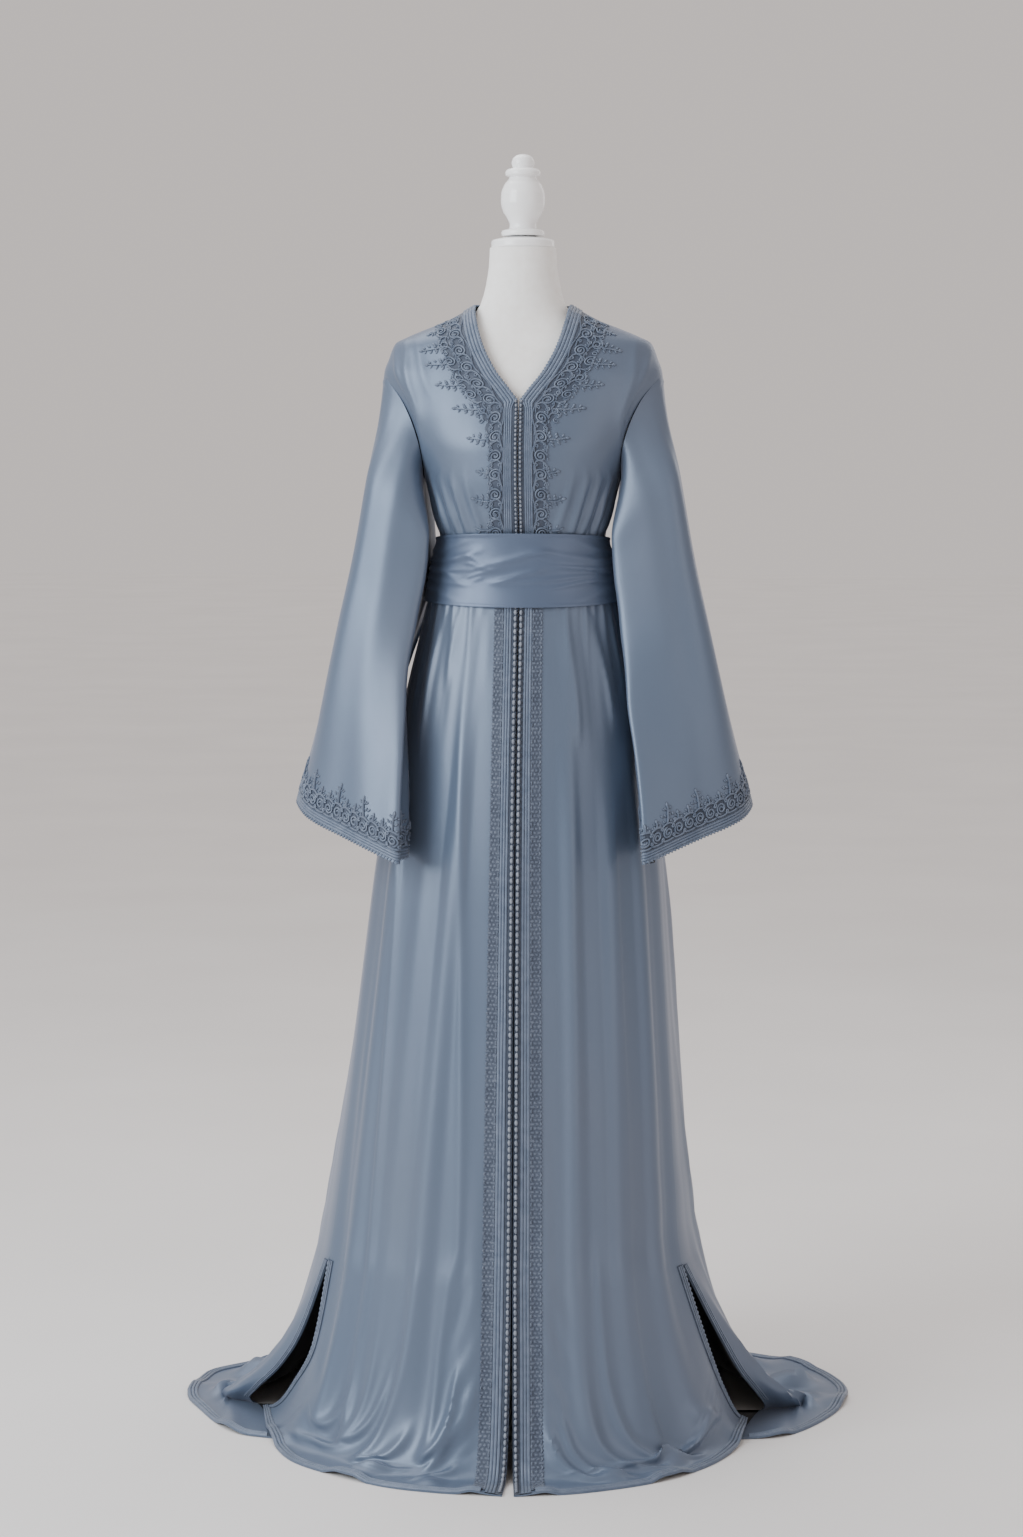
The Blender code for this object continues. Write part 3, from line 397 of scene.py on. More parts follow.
def main_folds(name, share, z):
    """How far the main folds and the gathers at the sash stand out of the plain ring."""
    total = np.zeros_like(share)
    for top_place, hem_place, top, height, half in SKIRT_FOLDS[name]:
        down = np.clip((top - z) / (top - SPLIT), 0.0, 1.0)
        place = top_place + (hem_place - top_place) * down
        fold = bump(share - place, half) - FOLD_SINK
        total = total + FOLD_CALM * height * smooth((top - z) / 0.30) * fold
    for place, below, above, half in GATHERS:
        under = bump(share - place - 0.05 * (SEAM_LOW - z) / 0.28, half)
        under = under * smooth((z - 0.93) / 0.16) * smooth((SEAM_LOW - z) / 0.03)
        over = bump(share - place - (z - SEAM_HIGH), half)
        over = over * smooth((1.385 - z) / 0.07) * smooth((z - SEAM_HIGH) / 0.02)
        total = total + GATHER_CALM * below * under + above * over
    return total * smooth(share / 0.12) * smooth((1.0 - share) / 0.10)


def pool_folds(name, share, out):
    total = np.zeros_like(share)
    for along, place, height, half_along, half_out in POOL_FOLDS[name]:
        total = total + height * bump(share - along, half_along) * bump(out - place, half_out)
    return total * smooth((1.0 - out) / 0.10) * smooth((0.93 - share) / 0.08)


def placket_growth(z):
    """How much wider the placket's bands are at a height than they are at the waist."""
    return 1.0 + HEM_GROWTH * smooth((GROWTH_TOP - z) / GROWTH_RUN)


def column_shares(panel, length, z, marks):
    """Shares of a row's length at which the fine columns stand."""
    end = 1.0 - SLIT_BAND / length
    if panel == "back":
        steps = np.arange(BACK_COLUMNS) / (BACK_COLUMNS - 1)
        knots = np.append(end * (1.0 - (1.0 - steps) ** 1.3), 1.0)
    else:
        first = placket_growth(z) * np.array(CENTRE_COLUMNS) / length
        middle = first[-1] + (end - first[-1]) * np.arange(1, FRONT_MIDDLE + 1) / FRONT_MIDDLE
        knots = np.concatenate([first, middle, [1.0]])
    return np.interp(marks, np.arange(len(knots)), knots)


def flare_rows(name, top, top_shares, marks):
    """Rows of a half panel from the top of the flare out to the hem, with their shares and marks."""
    panel = name.split("_")[0]
    hem_line = curve_through([(x, y, 0.0) for x, y in HEMS[name]], 200)
    hem_shares = column_shares(panel, lengths_along(hem_line)[-1], 0.0, marks)
    hem = walk(hem_line, hem_shares)
    slit_line = curve_through([tuple(top[-1])] + list(SLITS[name]), 160)
    band = HEM_BAND / lengths_along(slit_line)[-1]
    touch, bend = FLARE[panel]
    near_hem = 1.0 - HEM_BAND / np.linalg.norm(hem - top * (1.0, 1.0, 0.0), axis=1)
    for mark in FLARE_MARKS:
        over = max(0.0, mark - 1.0)
        out = near_hem * min(mark, 1.0) + (1.0 - near_hem) * over
        down = (1.0 - band) * min(mark, 1.0) + band * over
        share = top_shares + (hem_shares - top_shares) * out
        z = FLOOR_LEAST + (SPLIT - FLOOR_LEAST) * np.maximum(0.0, 1.0 - out / touch) ** bend
        row = top + (hem - top) * out[:, None]
        row[:, 2] = z
        row += level(top) * (main_folds(name, share, SPLIT) * (1.0 - smooth(out / 0.75)))[:, None]
        row[:, 2] += pool_folds(name, share, out)
        plain_slit = top[-1] + (hem[-1] - top[-1]) * out[:, None]
        plain_slit[:, 2] = z
        row += (walk(slit_line, [down])[0] - plain_slit) * smooth((share - 0.62) / 0.38)[:, None]
        row[:, 2] = np.maximum(row[:, 2], FLOOR_LEAST)
        yield row, share, SPLIT * (1.0 - mark)


def panel_grid(name):
    """Points of a half panel: rows from the hem up, columns from the centre out, and each point's marks."""
    panel, side_name = name.split("_")
    side = -1 if side_name == "left" else 1
    marks = BACK_MARKS if panel == "back" else FRONT_MARKS
    top_line = body_row(panel, side, SPLIT)
    top_shares = column_shares(panel, lengths_along(top_line)[-1], SPLIT, marks)
    found = list(flare_rows(name, walk(top_line, top_shares), top_shares, marks))
    for z in BODY_MARKS:
        line = body_row(panel, side, z)
        share = column_shares(panel, lengths_along(line)[-1], z, marks)
        row = walk(line, share)
        found.append((row + level(row) * main_folds(name, share, z)[:, None], share, z))
    for v in UPPER_MARKS:
        line = upper_row(panel, side, v)
        share = column_shares(panel, lengths_along(line)[-1], UNDERARM, marks)
        row = walk(line, share)
        stand = main_folds(name, share, row[:, 2]) * (1.0 - smooth(v / 0.4))
        found.append((row + level(row) * stand[:, None], share, UNDERARM + 0.25 * v))
    rows, shares, heights = zip(*found)
    return np.array(rows), np.array(shares), np.array(heights)[:, None] * np.ones(len(marks))


def away_from_rings(points, side, room):
    """Moves points out of the body's rings, so that the sleeve hangs in front of them."""
    z = points[..., 2]
    wide = half_width(z, side) + room
    deep = ring_depth(points[..., 1] < 0, z) + room
    reach = np.sqrt((points[..., 0] / wide) ** 2 + (points[..., 1] / deep) ** 2)
    inside = (reach < 1.0) & (z <= 1.50)
    scale = np.where(inside, 1.0 / np.maximum(reach, 1e-6), 1.0)
    moved = points.copy()
    moved[..., 0] *= scale
    moved[..., 1] *= scale
    return moved


def ahead_of(side, outward):
    """The level direction that points ahead where a sleeve's outer line lies outward."""
    flat = level(outward)
    return np.stack([side * flat[..., 1], -side * flat[..., 0], np.zeros_like(flat[..., 0])], axis=-1)


def sleeve_surface(side, turn, t):
    """Points on the sleeve: turn is 0 on the outer line, half a turn on the inner line."""
    values = [steady(SLEEVE[:, 0], SLEEVE[:, index], t) for index in range(1, 9)]
    ox, oy, oz, ix, iy, iz, deep, lean = values
    more = SLEEVE_OUT[side]
    outer = np.stack([side * (ox + more[0] * smooth(t / 0.35)), oy, oz], axis=-1)
    inner = np.stack([side * (ix + more[1] * smooth((t - 0.4) / 0.6)), iy, iz], axis=-1)
    middle = (outer + inner) * 0.5
    across = (outer - inner) * 0.5
    ahead = ahead_of(side, across) * (deep * np.sin(turn))[..., None]
    point = middle + across * np.cos(turn)[..., None] + ahead
    point[..., 0] += side * lean * np.sin(turn)
    degrees = np.degrees(turn)
    crease = bump(degrees - 62.0, 34.0) * smooth(t / 0.25) + bump(degrees - 250.0, 40.0) * smooth(t / 0.35)
    return point + unit(point - middle) * (0.005 * crease)[..., None]


def sleeve_grid(side, front, back):
    """Rows from the armhole down; columns round from the shoulder, front first."""
    loop = np.concatenate([front[ARM_ROW:, -1][::-1], back[ARM_ROW + 1:, -1]])
    old_turns = np.linspace(0.0, 2.0 * np.pi, len(loop))
    turns = 2.0 * np.pi * np.arange(SLEEVE_TURNS) / SLEEVE_TURNS
    places = np.stack([np.interp(turns, old_turns, loop[:, axis]) for axis in range(3)], axis=-1)
    wide = half_width(places[:, 2], side)
    deep = ring_depth(places[:, 1] < 0, places[:, 2])
    flat = np.zeros(SLEEVE_TURNS)
    away = unit(np.stack([places[:, 0] / wide ** 2, places[:, 1] / deep ** 2, flat], axis=-1))
    rise = np.abs(1.0 - turns / np.pi)
    places = places + away * (0.0031 * smooth((0.86 - rise) / 0.36))[:, None]
    t = SLEEVE_MARKS[:, None] * np.ones(SLEEVE_TURNS)
    turn = turns[None, :] * np.ones((len(SLEEVE_MARKS), 1))
    grid = sleeve_surface(side, turn, t)
    grid = grid + (places - grid[0])[None] * (1.0 - smooth(t / 0.30))[..., None]
    room = 0.0038 + 0.0037 * smooth(t / 0.20) + 0.0060 * smooth((1.31 - grid[..., 2]) / 0.03)
    cleared = away_from_rings(grid, side, room)
    cleared[0] = grid[0]
    return cleared, turn, t


def grid_normals(points, closed=False):
    """Unit normals of a grid of points; closed joins the last column to the first."""
    along = np.gradient(points, axis=1)
    if closed:
        along = np.roll(points, -1, axis=1) - np.roll(points, 1, axis=1)
    return unit(np.cross(np.gradient(points, axis=0), along))


# Creases laid over the main folds: height, width, then the crest's path as pairs of mark and share
# A mark is the height on the body, and runs from 0.255 down to 0 from the flare to the hem.
CREASES = {
    "front_left": (
        (0.0050, 0.0075, (
            (1.19, 0.37), (1.05, 0.347), (0.78, 0.288), (0.302, 0.238), (0.22, 0.302), (0.125, 0.300),
        )),
        (0.0052, 0.0060, ((1.19, 0.60), (1.13, 0.63), (1.06, 0.645), (0.98, 0.65))),
        (0.0040, 0.0050, ((1.19, 0.20), (1.14, 0.19), (1.08, 0.17))),
        (0.0040, 0.0050, ((1.19, 0.46), (1.14, 0.47), (1.08, 0.49))),
        (0.0052, 0.0070, ((0.125, 0.300), (0.150, 0.262), (0.185, 0.225), (0.240, 0.190))),
        (0.0048, 0.0085, (
            (1.04, 0.95), (0.90, 0.80), (0.771, 0.716), (0.50, 0.700), (0.24, 0.693), (0.13, 0.613),
        )),
        (0.0052, 0.0070, ((0.128, 0.610), (0.150, 0.560), (0.185, 0.520), (0.230, 0.490))),
        (0.0036, 0.0160, ((0.72, 0.90), (0.40, 0.860), (0.23, 0.831), (0.10, 0.770))),
        (0.0050, 0.0070, ((0.100, 0.770), (0.130, 0.715), (0.165, 0.680), (0.200, 0.660))),
        (0.0050, 0.0065, ((0.42, 0.095), (0.225, 0.11), (0.195, 0.15), (0.16, 0.22), (0.09, 0.275))),
        (0.0050, 0.0070, ((0.25, 0.215), (0.19, 0.225), (0.16, 0.25), (0.115, 0.300))),
        (0.0062, 0.0080, ((0.30, 0.42), (0.22, 0.44), (0.16, 0.475), (0.085, 0.50))),
        (0.0054, 0.0070, ((0.085, 0.50), (0.105, 0.445), (0.140, 0.400), (0.185, 0.370))),
        (0.0044, 0.0070, ((0.25, 0.60), (0.19, 0.585), (0.13, 0.610))),
        (0.0060, 0.0100, ((0.15, 0.56), (0.12, 0.60), (0.08, 0.70), (0.02, 0.78))),
        (0.0044, 0.0070, ((0.11, 0.30), (0.08, 0.36), (0.03, 0.44))),
        (0.0042, 0.0065, ((0.14, 0.17), (0.10, 0.19), (0.07, 0.24), (0.02, 0.28))),
        (0.0020, 0.0180, ((0.90, 0.52), (0.70, 0.50), (0.50, 0.47), (0.28, 0.45))),
        (0.0042, 0.0060, ((1.61, 0.60), (1.57, 0.66), (1.51, 0.80), (1.45, 0.93))),
        (0.0034, 0.0060, ((1.61, 0.74), (1.57, 0.78), (1.51, 0.87), (1.46, 0.95))),
        (0.0022, 0.0070, ((1.60, 0.50), (1.55, 0.56), (1.50, 0.66))),
    ),
    "front_right": (
        (0.0046, 0.0055, ((1.19, 0.34), (1.13, 0.36), (1.06, 0.38), (1.00, 0.39))),
        (0.0048, 0.0060, ((1.19, 0.52), (1.13, 0.58), (1.07, 0.63), (1.00, 0.66))),
        (0.0036, 0.0050, ((1.19, 0.74), (1.14, 0.76), (1.08, 0.78))),
        (0.0058, 0.0085, ((0.118, 0.34), (0.100, 0.46), (0.088, 0.60), (0.072, 0.76), (0.052, 0.84))),
        (0.0034, 0.0100, (
            (1.12, 0.36), (1.00, 0.34), (0.78, 0.323), (0.50, 0.31), (0.28, 0.30), (0.16, 0.32),
        )),
        (0.0036, 0.0100, ((1.10, 0.64), (1.00, 0.62), (0.771, 0.595), (0.35, 0.62), (0.13, 0.60))),
        (0.0026, 0.0180, ((0.96, 0.78), (0.771, 0.772), (0.35, 0.83), (0.135, 0.791), (0.08, 0.77))),
        (0.0058, 0.0090, ((0.34, 0.43), (0.22, 0.43), (0.165, 0.462), (0.10, 0.55), (0.010, 0.70))),
        (0.0060, 0.0070, ((0.32, 0.10), (0.20, 0.122), (0.12, 0.20), (0.035, 0.293))),
        (0.0046, 0.0065, ((0.24, 0.19), (0.17, 0.22), (0.10, 0.30), (0.03, 0.40))),
        (0.0048, 0.0075, ((0.24, 0.32), (0.16, 0.35), (0.09, 0.44), (0.03, 0.53))),
        (0.0026, 0.0075, ((0.16, 0.60), (0.10, 0.66), (0.04, 0.77))),
        (0.0022, 0.0070, ((0.15, 0.76), (0.10, 0.79), (0.04, 0.86))),
        (0.0020, 0.0180, ((0.80, 0.46), (0.50, 0.47), (0.28, 0.50), (0.16, 0.53))),
        (0.0030, 0.0070, ((1.61, 0.58), (1.57, 0.64), (1.51, 0.78), (1.45, 0.91))),
        (0.0024, 0.0070, ((1.61, 0.76), (1.54, 0.82), (1.47, 0.91))),
    ),
    "back_left": (
        (0.0062, 0.0130, ((1.10, 0.12), (0.70, 0.13), (0.30, 0.12), (0.03, 0.15))),
        (0.0058, 0.0120, ((1.08, 0.33), (0.70, 0.31), (0.30, 0.28), (0.02, 0.26))),
        (0.0066, 0.0130, ((1.05, 0.55), (0.70, 0.52), (0.30, 0.46), (0.02, 0.44))),
        (0.0058, 0.0120, ((1.00, 0.78), (0.70, 0.73), (0.26, 0.60), (0.02, 0.57))),
        (0.0056, 0.0090, ((0.60, 0.84), (0.26, 0.76), (0.12, 0.70), (0.02, 0.64))),
        (0.0050, 0.0080, ((0.30, 0.86), (0.14, 0.78), (0.03, 0.73))),
        (0.0040, 0.0080, ((0.24, 0.93), (0.12, 0.86), (0.03, 0.83))),
        (0.0030, 0.0070, ((0.16, 0.66), (0.09, 0.60), (0.02, 0.53))),
        (0.0026, 0.0100, ((1.60, 0.55), (1.50, 0.70), (1.42, 0.90))),
    ),
    "back_right": (
        (0.0060, 0.0130, ((1.12, 0.10), (0.70, 0.12), (0.30, 0.14), (0.03, 0.12))),
        (0.0060, 0.0120, ((1.06, 0.30), (0.70, 0.29), (0.30, 0.30), (0.02, 0.29))),
        (0.0062, 0.0130, ((1.08, 0.52), (0.70, 0.50), (0.30, 0.47), (0.02, 0.45))),
        (0.0060, 0.0120, ((0.98, 0.76), (0.70, 0.72), (0.26, 0.62), (0.02, 0.60))),
        (0.0060, 0.0090, ((0.62, 0.86), (0.26, 0.78), (0.12, 0.73), (0.02, 0.68))),
        (0.0050, 0.0080, ((0.30, 0.88), (0.14, 0.81), (0.03, 0.77))),
        (0.0040, 0.0080, ((0.24, 0.94), (0.12, 0.89), (0.03, 0.86))),
        (0.0030, 0.0070, ((0.16, 0.68), (0.09, 0.63), (0.02, 0.57))),
        (0.0026, 0.0100, ((1.60, 0.55), (1.50, 0.70), (1.42, 0.90))),
    ),
}

# Small gathers at the sash: place from centre to side, lean, height, width, reach above, reach below
SMALL_GATHERS = (
    (0.275, 0.06, 0.0020, 0.0046, 0.045, 0.04), (0.365, 0.05, 0.0030, 0.0046, 0.080, 0.16),
    (0.445, 0.03, 0.0026, 0.0044, 0.065, 0.05), (0.520, 0.05, 0.0034, 0.0048, 0.090, 0.12),
    (0.600, 0.03, 0.0028, 0.0046, 0.075, 0.05), (0.685, 0.02, 0.0034, 0.0048, 0.085, 0.09),
    (0.775, 0.01, 0.0028, 0.0046, 0.070, 0.06), (0.865, 0.00, 0.0028, 0.0046, 0.070, 0.09),
)


def crest(distance, width):
    """A ridge that is narrow at its top and wide at its foot."""
    return bump(distance, 6.0 * width) * (1.0 + (distance / width) ** 2) ** -0.8


def swell(a, b, seed, count=7):
    """Low uneven waves over two directions, between -1 and 1, the same each run."""
    random = np.random.default_rng(seed)
    total = np.zeros_like(a)
    for step in range(count):
        turn = random.uniform(-0.5, 0.5)
        rate = random.uniform(8.0, 26.0)
        phase = random.uniform(0.0, 2.0 * np.pi)
        total = total + np.sin(rate * (a * math.cos(turn) + 0.35 * b * math.sin(turn)) * 2.0 + phase)
    return total / count


def panel_relief(name, points, shares, marks):
    """How far each point of a panel stands out of the main form, for the creases seen on it."""
    arc = row_lengths(points)
    length = arc[:, -1:]
    panel = name.split("_")[0]
    total = np.zeros_like(shares)
    for height, width, path in CREASES[name]:
        high, places = zip(*sorted(path))
        place = steady(high, places, marks)
        start = min(0.30, 0.45 * (high[-1] - high[0]))
        fade = smooth((high[-1] - marks) / start) * smooth((marks - high[0] + 0.02) / 0.05)
        pool = 1.0 + 0.55 * bump(marks - 0.11, 0.13)
        slope = (steady(high, places, marks + 0.002) - place) / 0.002 * length
        away = (shares - place) * length / np.sqrt(1.0 + slope ** 2)
        total += height * pool * crest(away, width) * fade
    up = np.clip(marks - GATHER_FOOT, 0.0, None)
    down = np.clip(SASH_LOW - marks, 0.0, None)
    above_sash = marks > WAIST
    for place, lean, height, width, above, below in SMALL_GATHERS:
        over = crest((shares - place - lean * up / 0.10) * length, width) * smooth(1.0 - up / above)
        under = crest((shares - place + lean * down / 0.20) * length, width) * smooth(1.0 - down / below)
        total += height * np.where(above_sash, over, under)
    total += 0.0008 * swell(arc, marks, 11 if panel == "front" else 23) * smooth((marks - 0.03) / 0.1)
    if panel == "front":
        phase = marks / 0.027 + arc * (34.0 if name.endswith("left") else 30.0)
        tug = 0.0011 * np.sin(2.0 * np.pi * phase + 1.7 * np.sin(marks * 31.0))
        tug = tug * smooth((arc - 0.040) / 0.010) * smooth((0.098 - arc) / 0.040)
        total += tug * bump(marks - 0.26, 0.19)
        total *= smooth((arc - 0.034) / 0.022)
    else:
        total *= smooth(arc / 0.030)
    total *= smooth((length - arc - 0.004) / 0.030) * (1.0 - smooth((marks - 1.585) / 0.025))
    return total * smooth((marks - 0.004) / 0.05)


# Long soft folds down a sleeve: place round it in degrees, drift, height, width, where it starts
SLEEVE_CREASES = {
    -1: (
        (42.0, 6.0, 0.0012, 0.018, 0.10), (98.0, 10.0, 0.0030, 0.012, 0.00),
        (128.0, -2.0, 0.0016, 0.012, 0.10),
    ),
    1: (
        (48.0, 4.0, 0.0014, 0.018, 0.10), (96.0, 8.0, 0.0022, 0.014, 0.02),
        (130.0, -2.0, 0.0012, 0.012, 0.10),
    ),
}
REAR_CREASES = (
    (215.0, -6.0, 0.0036, 0.014, 0.12), (262.0, -4.0, 0.0040, 0.015, 0.10),
    (312.0, -6.0, 0.0030, 0.014, 0.20),
)


def sleeve_relief(side, points, turn, t):
    degrees = np.degrees(turn)
    steps = np.linalg.norm(points - np.roll(points, 1, axis=1), axis=2)
    girth = np.sum(steps, axis=1, keepdims=True)
    total = np.zeros_like(t)
    for place, drift, height, width, start in SLEEVE_CREASES[side] + REAR_CREASES:
        path = place + drift * t + 1.5 * np.sin(4.0 * t + place)
        away = (degrees - path) / 360.0 * girth
        total += height * crest(away, width) * smooth((t - start) / 0.20)
    total += 0.0006 * swell(degrees / 180.0, t, 37 + side)
    return total * smooth(t / 0.06) * (1.0 - 0.6 * smooth((t - 0.93) / 0.07))


# How far each sleeve's front corner stands ahead
CORNER_AHEAD = {-1: 0.028, 1: 0.010}


def boxed_front(side, points, turn, t):
    """Squares the inner half of a sleeve's front, so that it hangs nearly flat and turns sharply."""
    sine = np.clip(np.sin(turn), 0.0, 1.0)
    cosine = np.clip(-np.cos(turn), 0.0, 1.0)
    degrees = np.degrees(turn)
    inner = smooth((degrees - 75.0) / 65.0) * (sine > 0.0)
    deep = steady(SLEEVE[:, 0], SLEEVE[:, 7], t)
    across = (points[:, SLEEVE_TURNS // 2, None] - points[:, :1]) * 0.5
    start = smooth(t / 0.22)
    corner = between(degrees, 45.0, 90.0, 142.0, 36.0)
    grow = (deep * (sine ** (0.85 - 0.40 * inner) - sine) + CORNER_AHEAD[side] * corner) * start
    pull = 3.0 - 0.8 * smooth((t - 0.60) / 0.36)
    spread = pull * (cosine ** (1.0 - 0.50 * inner) - cosine) * inner * start
    boxed = points + ahead_of(side, -across) * grow[..., None] + across * spread[..., None]
    aside = (0.017 + 0.017 * smooth((t - 0.33) / 0.33)) * start
    boxed[..., 0] -= side * aside * between(degrees, 60.0, 75.0, 142.0, 36.0)
    return boxed


class EdgeMap:
    """Places on a grid by the distance along its first column and the distance in from it."""

    def __init__(self, points, normals, flip):
        self.points = points
        self.normals = normals
        self.flip = flip
        self.along = lengths_along(points[:, 0])
        self.inward = row_lengths(points)
        self.total = self.along[-1]

    def on_row(self, row, distance):
        inward = self.inward[row]
        column = np.sum(inward < distance[:, None], axis=1)
        column = np.clip(column, 1, inward.shape[1] - 1)
        every = np.arange(len(row))
        low = inward[every, column - 1]
        high = inward[every, column]
        mix = np.clip((distance - low) / np.maximum(high - low, 1e-9), -1.5, 1.5)[:, None]
        point = self.points[row, column - 1] * (1.0 - mix) + self.points[row, column] * mix
        normal = self.normals[row, column - 1] * (1.0 - mix) + self.normals[row, column] * mix
        return point, normal

    def at(self, along, distance, lift):
        shape = np.broadcast(along, distance, lift).shape
        along = np.broadcast_to(along, shape).ravel()
        distance = np.broadcast_to(distance, shape).ravel()
        lift = np.broadcast_to(lift, shape).ravel()
        row = np.interp(along, self.along, np.arange(len(self.along)))
        first = np.minimum(row.astype(int), len(self.along) - 2)
        mix = (row - first)[:, None]
        before, normal_before = self.on_row(first, distance)
        after, normal_after = self.on_row(first + 1, distance)
        point = before * (1.0 - mix) + after * mix
        normal = normal_before * (1.0 - mix) + normal_after * mix
        return (point + unit(normal) * lift[:, None]).reshape(shape + (3,))

    def along_at_height(self, z):
        """Distance along the edge at a height of its first column."""
        return float(np.interp(z, self.points[:, 0, 2], self.along))


SHARP_TURN = math.radians(50)
RIM_LIFT = 0.0004


def mesh_object(name, vertices, faces, materials, indices=None):
    mesh = bpy.data.meshes.new(name)
    vertices = np.ascontiguousarray(vertices, np.float32).reshape(-1, 3)
    faces = np.ascontiguousarray(faces, np.int32)
    size = faces.shape[1]
    mesh.vertices.add(len(vertices))
    mesh.vertices.foreach_set("co", vertices.ravel())
    mesh.loops.add(faces.size)
    mesh.loops.foreach_set("vertex_index", faces.ravel())
    mesh.polygons.add(len(faces))
    mesh.polygons.foreach_set("loop_start", np.arange(0, faces.size, size, dtype=np.int32))
    mesh.update(calc_edges=True)
    mesh.validate()
    for material in materials:
        mesh.materials.append(material)
    if indices is not None:
        mesh.polygons.foreach_set("material_index", np.ascontiguousarray(indices, np.int32))
    mesh.polygons.foreach_set("use_smooth", np.ones(len(mesh.polygons), bool))
    mesh.set_sharp_from_angle(angle=SHARP_TURN)
    body = bpy.data.objects.new(name, mesh)
    bpy.context.scene.collection.objects.link(body)
    return body


def grid_quads(rows, columns, closed, flip):
    r = np.arange(rows - 1)[:, None]
    c = np.arange(columns if closed else columns - 1)[None, :]
    n = (c + 1) % columns
    quads = np.stack(
        [r * columns + c, r * columns + n, (r + 1) * columns + n, (r + 1) * columns + c], axis=-1
    ).reshape(-1, 4)
    return quads[:, ::-1] if flip else quads


OUTER_LIFT = 0.0010
INNER_LIFT = -0.0008


def shell(name, points, normals, closed, flip, materials):
    """A thin closed sheet of cloth: satin outside, inside a near-black lining of painted shade, joined round
    every open edge.
    """
    rows, columns = points.shape[:2]
    outer = (points + normals * OUTER_LIFT).reshape(-1, 3)
    inner = (points + normals * INNER_LIFT).reshape(-1, 3)
    count = len(outer)
    front = grid_quads(rows, columns, closed, flip)
    back = front[:, ::-1] + count
    edges = set()
    for face in front.tolist():
        for a, b in zip(face, face[1:] + face[:1]):
            edges.add((a, b))
    rim = [(b, a, a + count, b + count) for a, b in sorted(edges) if (b, a) not in edges]
    faces = np.concatenate([front, back, np.array(rim)])
    indices = np.concatenate([np.zeros(len(front)), np.ones(len(back)), np.zeros(len(rim))])
    return mesh_object(name, np.concatenate([outer, inner]), faces, materials, indices)


def strip(name, edge, along, distances, lifts, material, shade_material=None, valley=0.0):
    """A raised band on a surface: the lifts shape its cords, and what lies below the valley takes a darker
    material, painted shade in the grooves.
    """
    rows = len(along)
    lifts = np.broadcast_to(lifts, (rows, np.shape(lifts)[-1]))
    distances = np.broadcast_to(distances, lifts.shape)
    low = np.full((rows, 1), RIM_LIFT)
    distances = np.concatenate([distances[:, :1], distances, distances[:, -1:]], axis=1)
    lifts = np.concatenate([low, lifts, low], axis=1)
    points = edge.at(np.asarray(along)[:, None], distances, lifts)
    faces = grid_quads(rows, lifts.shape[1], False, edge.flip)
    if shade_material is None:
        return mesh_object(name, points, faces, [material])
    shaded_faces = np.mean(lifts.reshape(-1)[faces], axis=1) < valley
    return mesh_object(name, points, faces, [material, shade_material], shaded_faces.astype(float))


def tubes(name, paths, radii, sides=5):
    """Round cords along many paths at once, with pointed ends."""
    vertices, faces = [], []
    base = 0
    turn = 2.0 * np.pi * np.arange(sides) / sides
    for path, radius in zip(paths, radii):
        tangent = unit(np.gradient(path, axis=0))
        helper = np.where(np.abs(tangent[:, 1:2]) < 0.9, (0.0, 1.0, 0.0), (1.0, 0.0, 0.0))
        one = unit(np.cross(tangent, helper))
        two = np.cross(tangent, one)
        size = radius * np.ones(len(path))
        size[[0, -1]] *= 0.25
        ring = one[:, None] * np.cos(turn)[None, :, None] + two[:, None] * np.sin(turn)[None, :, None]
        vertices.append((path[:, None] + ring * size[:, None, None]).reshape(-1, 3))
        faces.append(grid_quads(len(path), sides, True, False) + base)
        base += len(path) * sides
    return mesh_object(name, np.concatenate(vertices), np.concatenate(faces), [CORD])


def knots(name, centres, aheads, outs, size, material, scales=None, rings=7, sides=10):
    """Small knotted buttons: grooved beads, each turned to the cloth it sits on."""
    theta = np.linspace(0.12, np.pi - 0.12, rings)[:, None]
    phi = 2.0 * np.pi * np.arange(sides) / sides
    groove = 1.0 - 0.10 * np.cos(3.0 * phi + 2.2 * theta)
    a = np.cos(theta) * np.ones(sides) * size[0]
    b = np.sin(theta) * np.cos(phi) * groove * size[1]
    c = np.sin(theta) * np.sin(phi) * groove * size[2]
    bead = np.stack([a, b, c], axis=-1).reshape(-1, 3)
    axes = np.stack([aheads, np.cross(outs, aheads), outs], axis=1)
    sizes = np.ones(len(centres)) if scales is None else scales
    vertices = bead @ axes * sizes[:, None, None] + centres[:, None]
    first = (np.arange(len(centres)) * rings * sides)[:, None, None]
    faces = grid_quads(rings, sides, True, True) + first
    return mesh_object(name, vertices, faces.reshape(-1, 4), [material])


def capped(name, points, material):
    """A grid of points round the middle, closed by a fan of triangles at its foot and at its head."""
    rows, columns = points.shape[:2]
    quads = grid_quads(rows, columns, True, False)
    ends = points[[0, -1], 0] * (0.0, 0.0, 1.0)
    count = rows * columns
    top = count - columns
    c = np.arange(columns)
    n = (c + 1) % columns
    low = np.stack([np.full(columns, count), n, c], axis=-1)
    high = np.stack([np.full(columns, count + 1), top + c, top + n], axis=-1)
    triangles = np.concatenate([quads[:, [0, 1, 2]], quads[:, [0, 2, 3]], low, high])
    return mesh_object(name, np.concatenate([points.reshape(-1, 3), ends]), triangles, [material])


def lathe(name, profile, fine, columns):
    """A turned piece from a profile of radius and height, foot first, smoothed to fine steps."""
    line = curve_through(profile, fine)
    angle = 2.0 * np.pi * np.arange(columns) / columns
    points = np.stack([
        line[:, :1] * np.sin(angle), -line[:, :1] * np.cos(angle), line[:, 1:] * np.ones(columns),
    ], axis=-1)
    return capped(name, points, GLOSS)


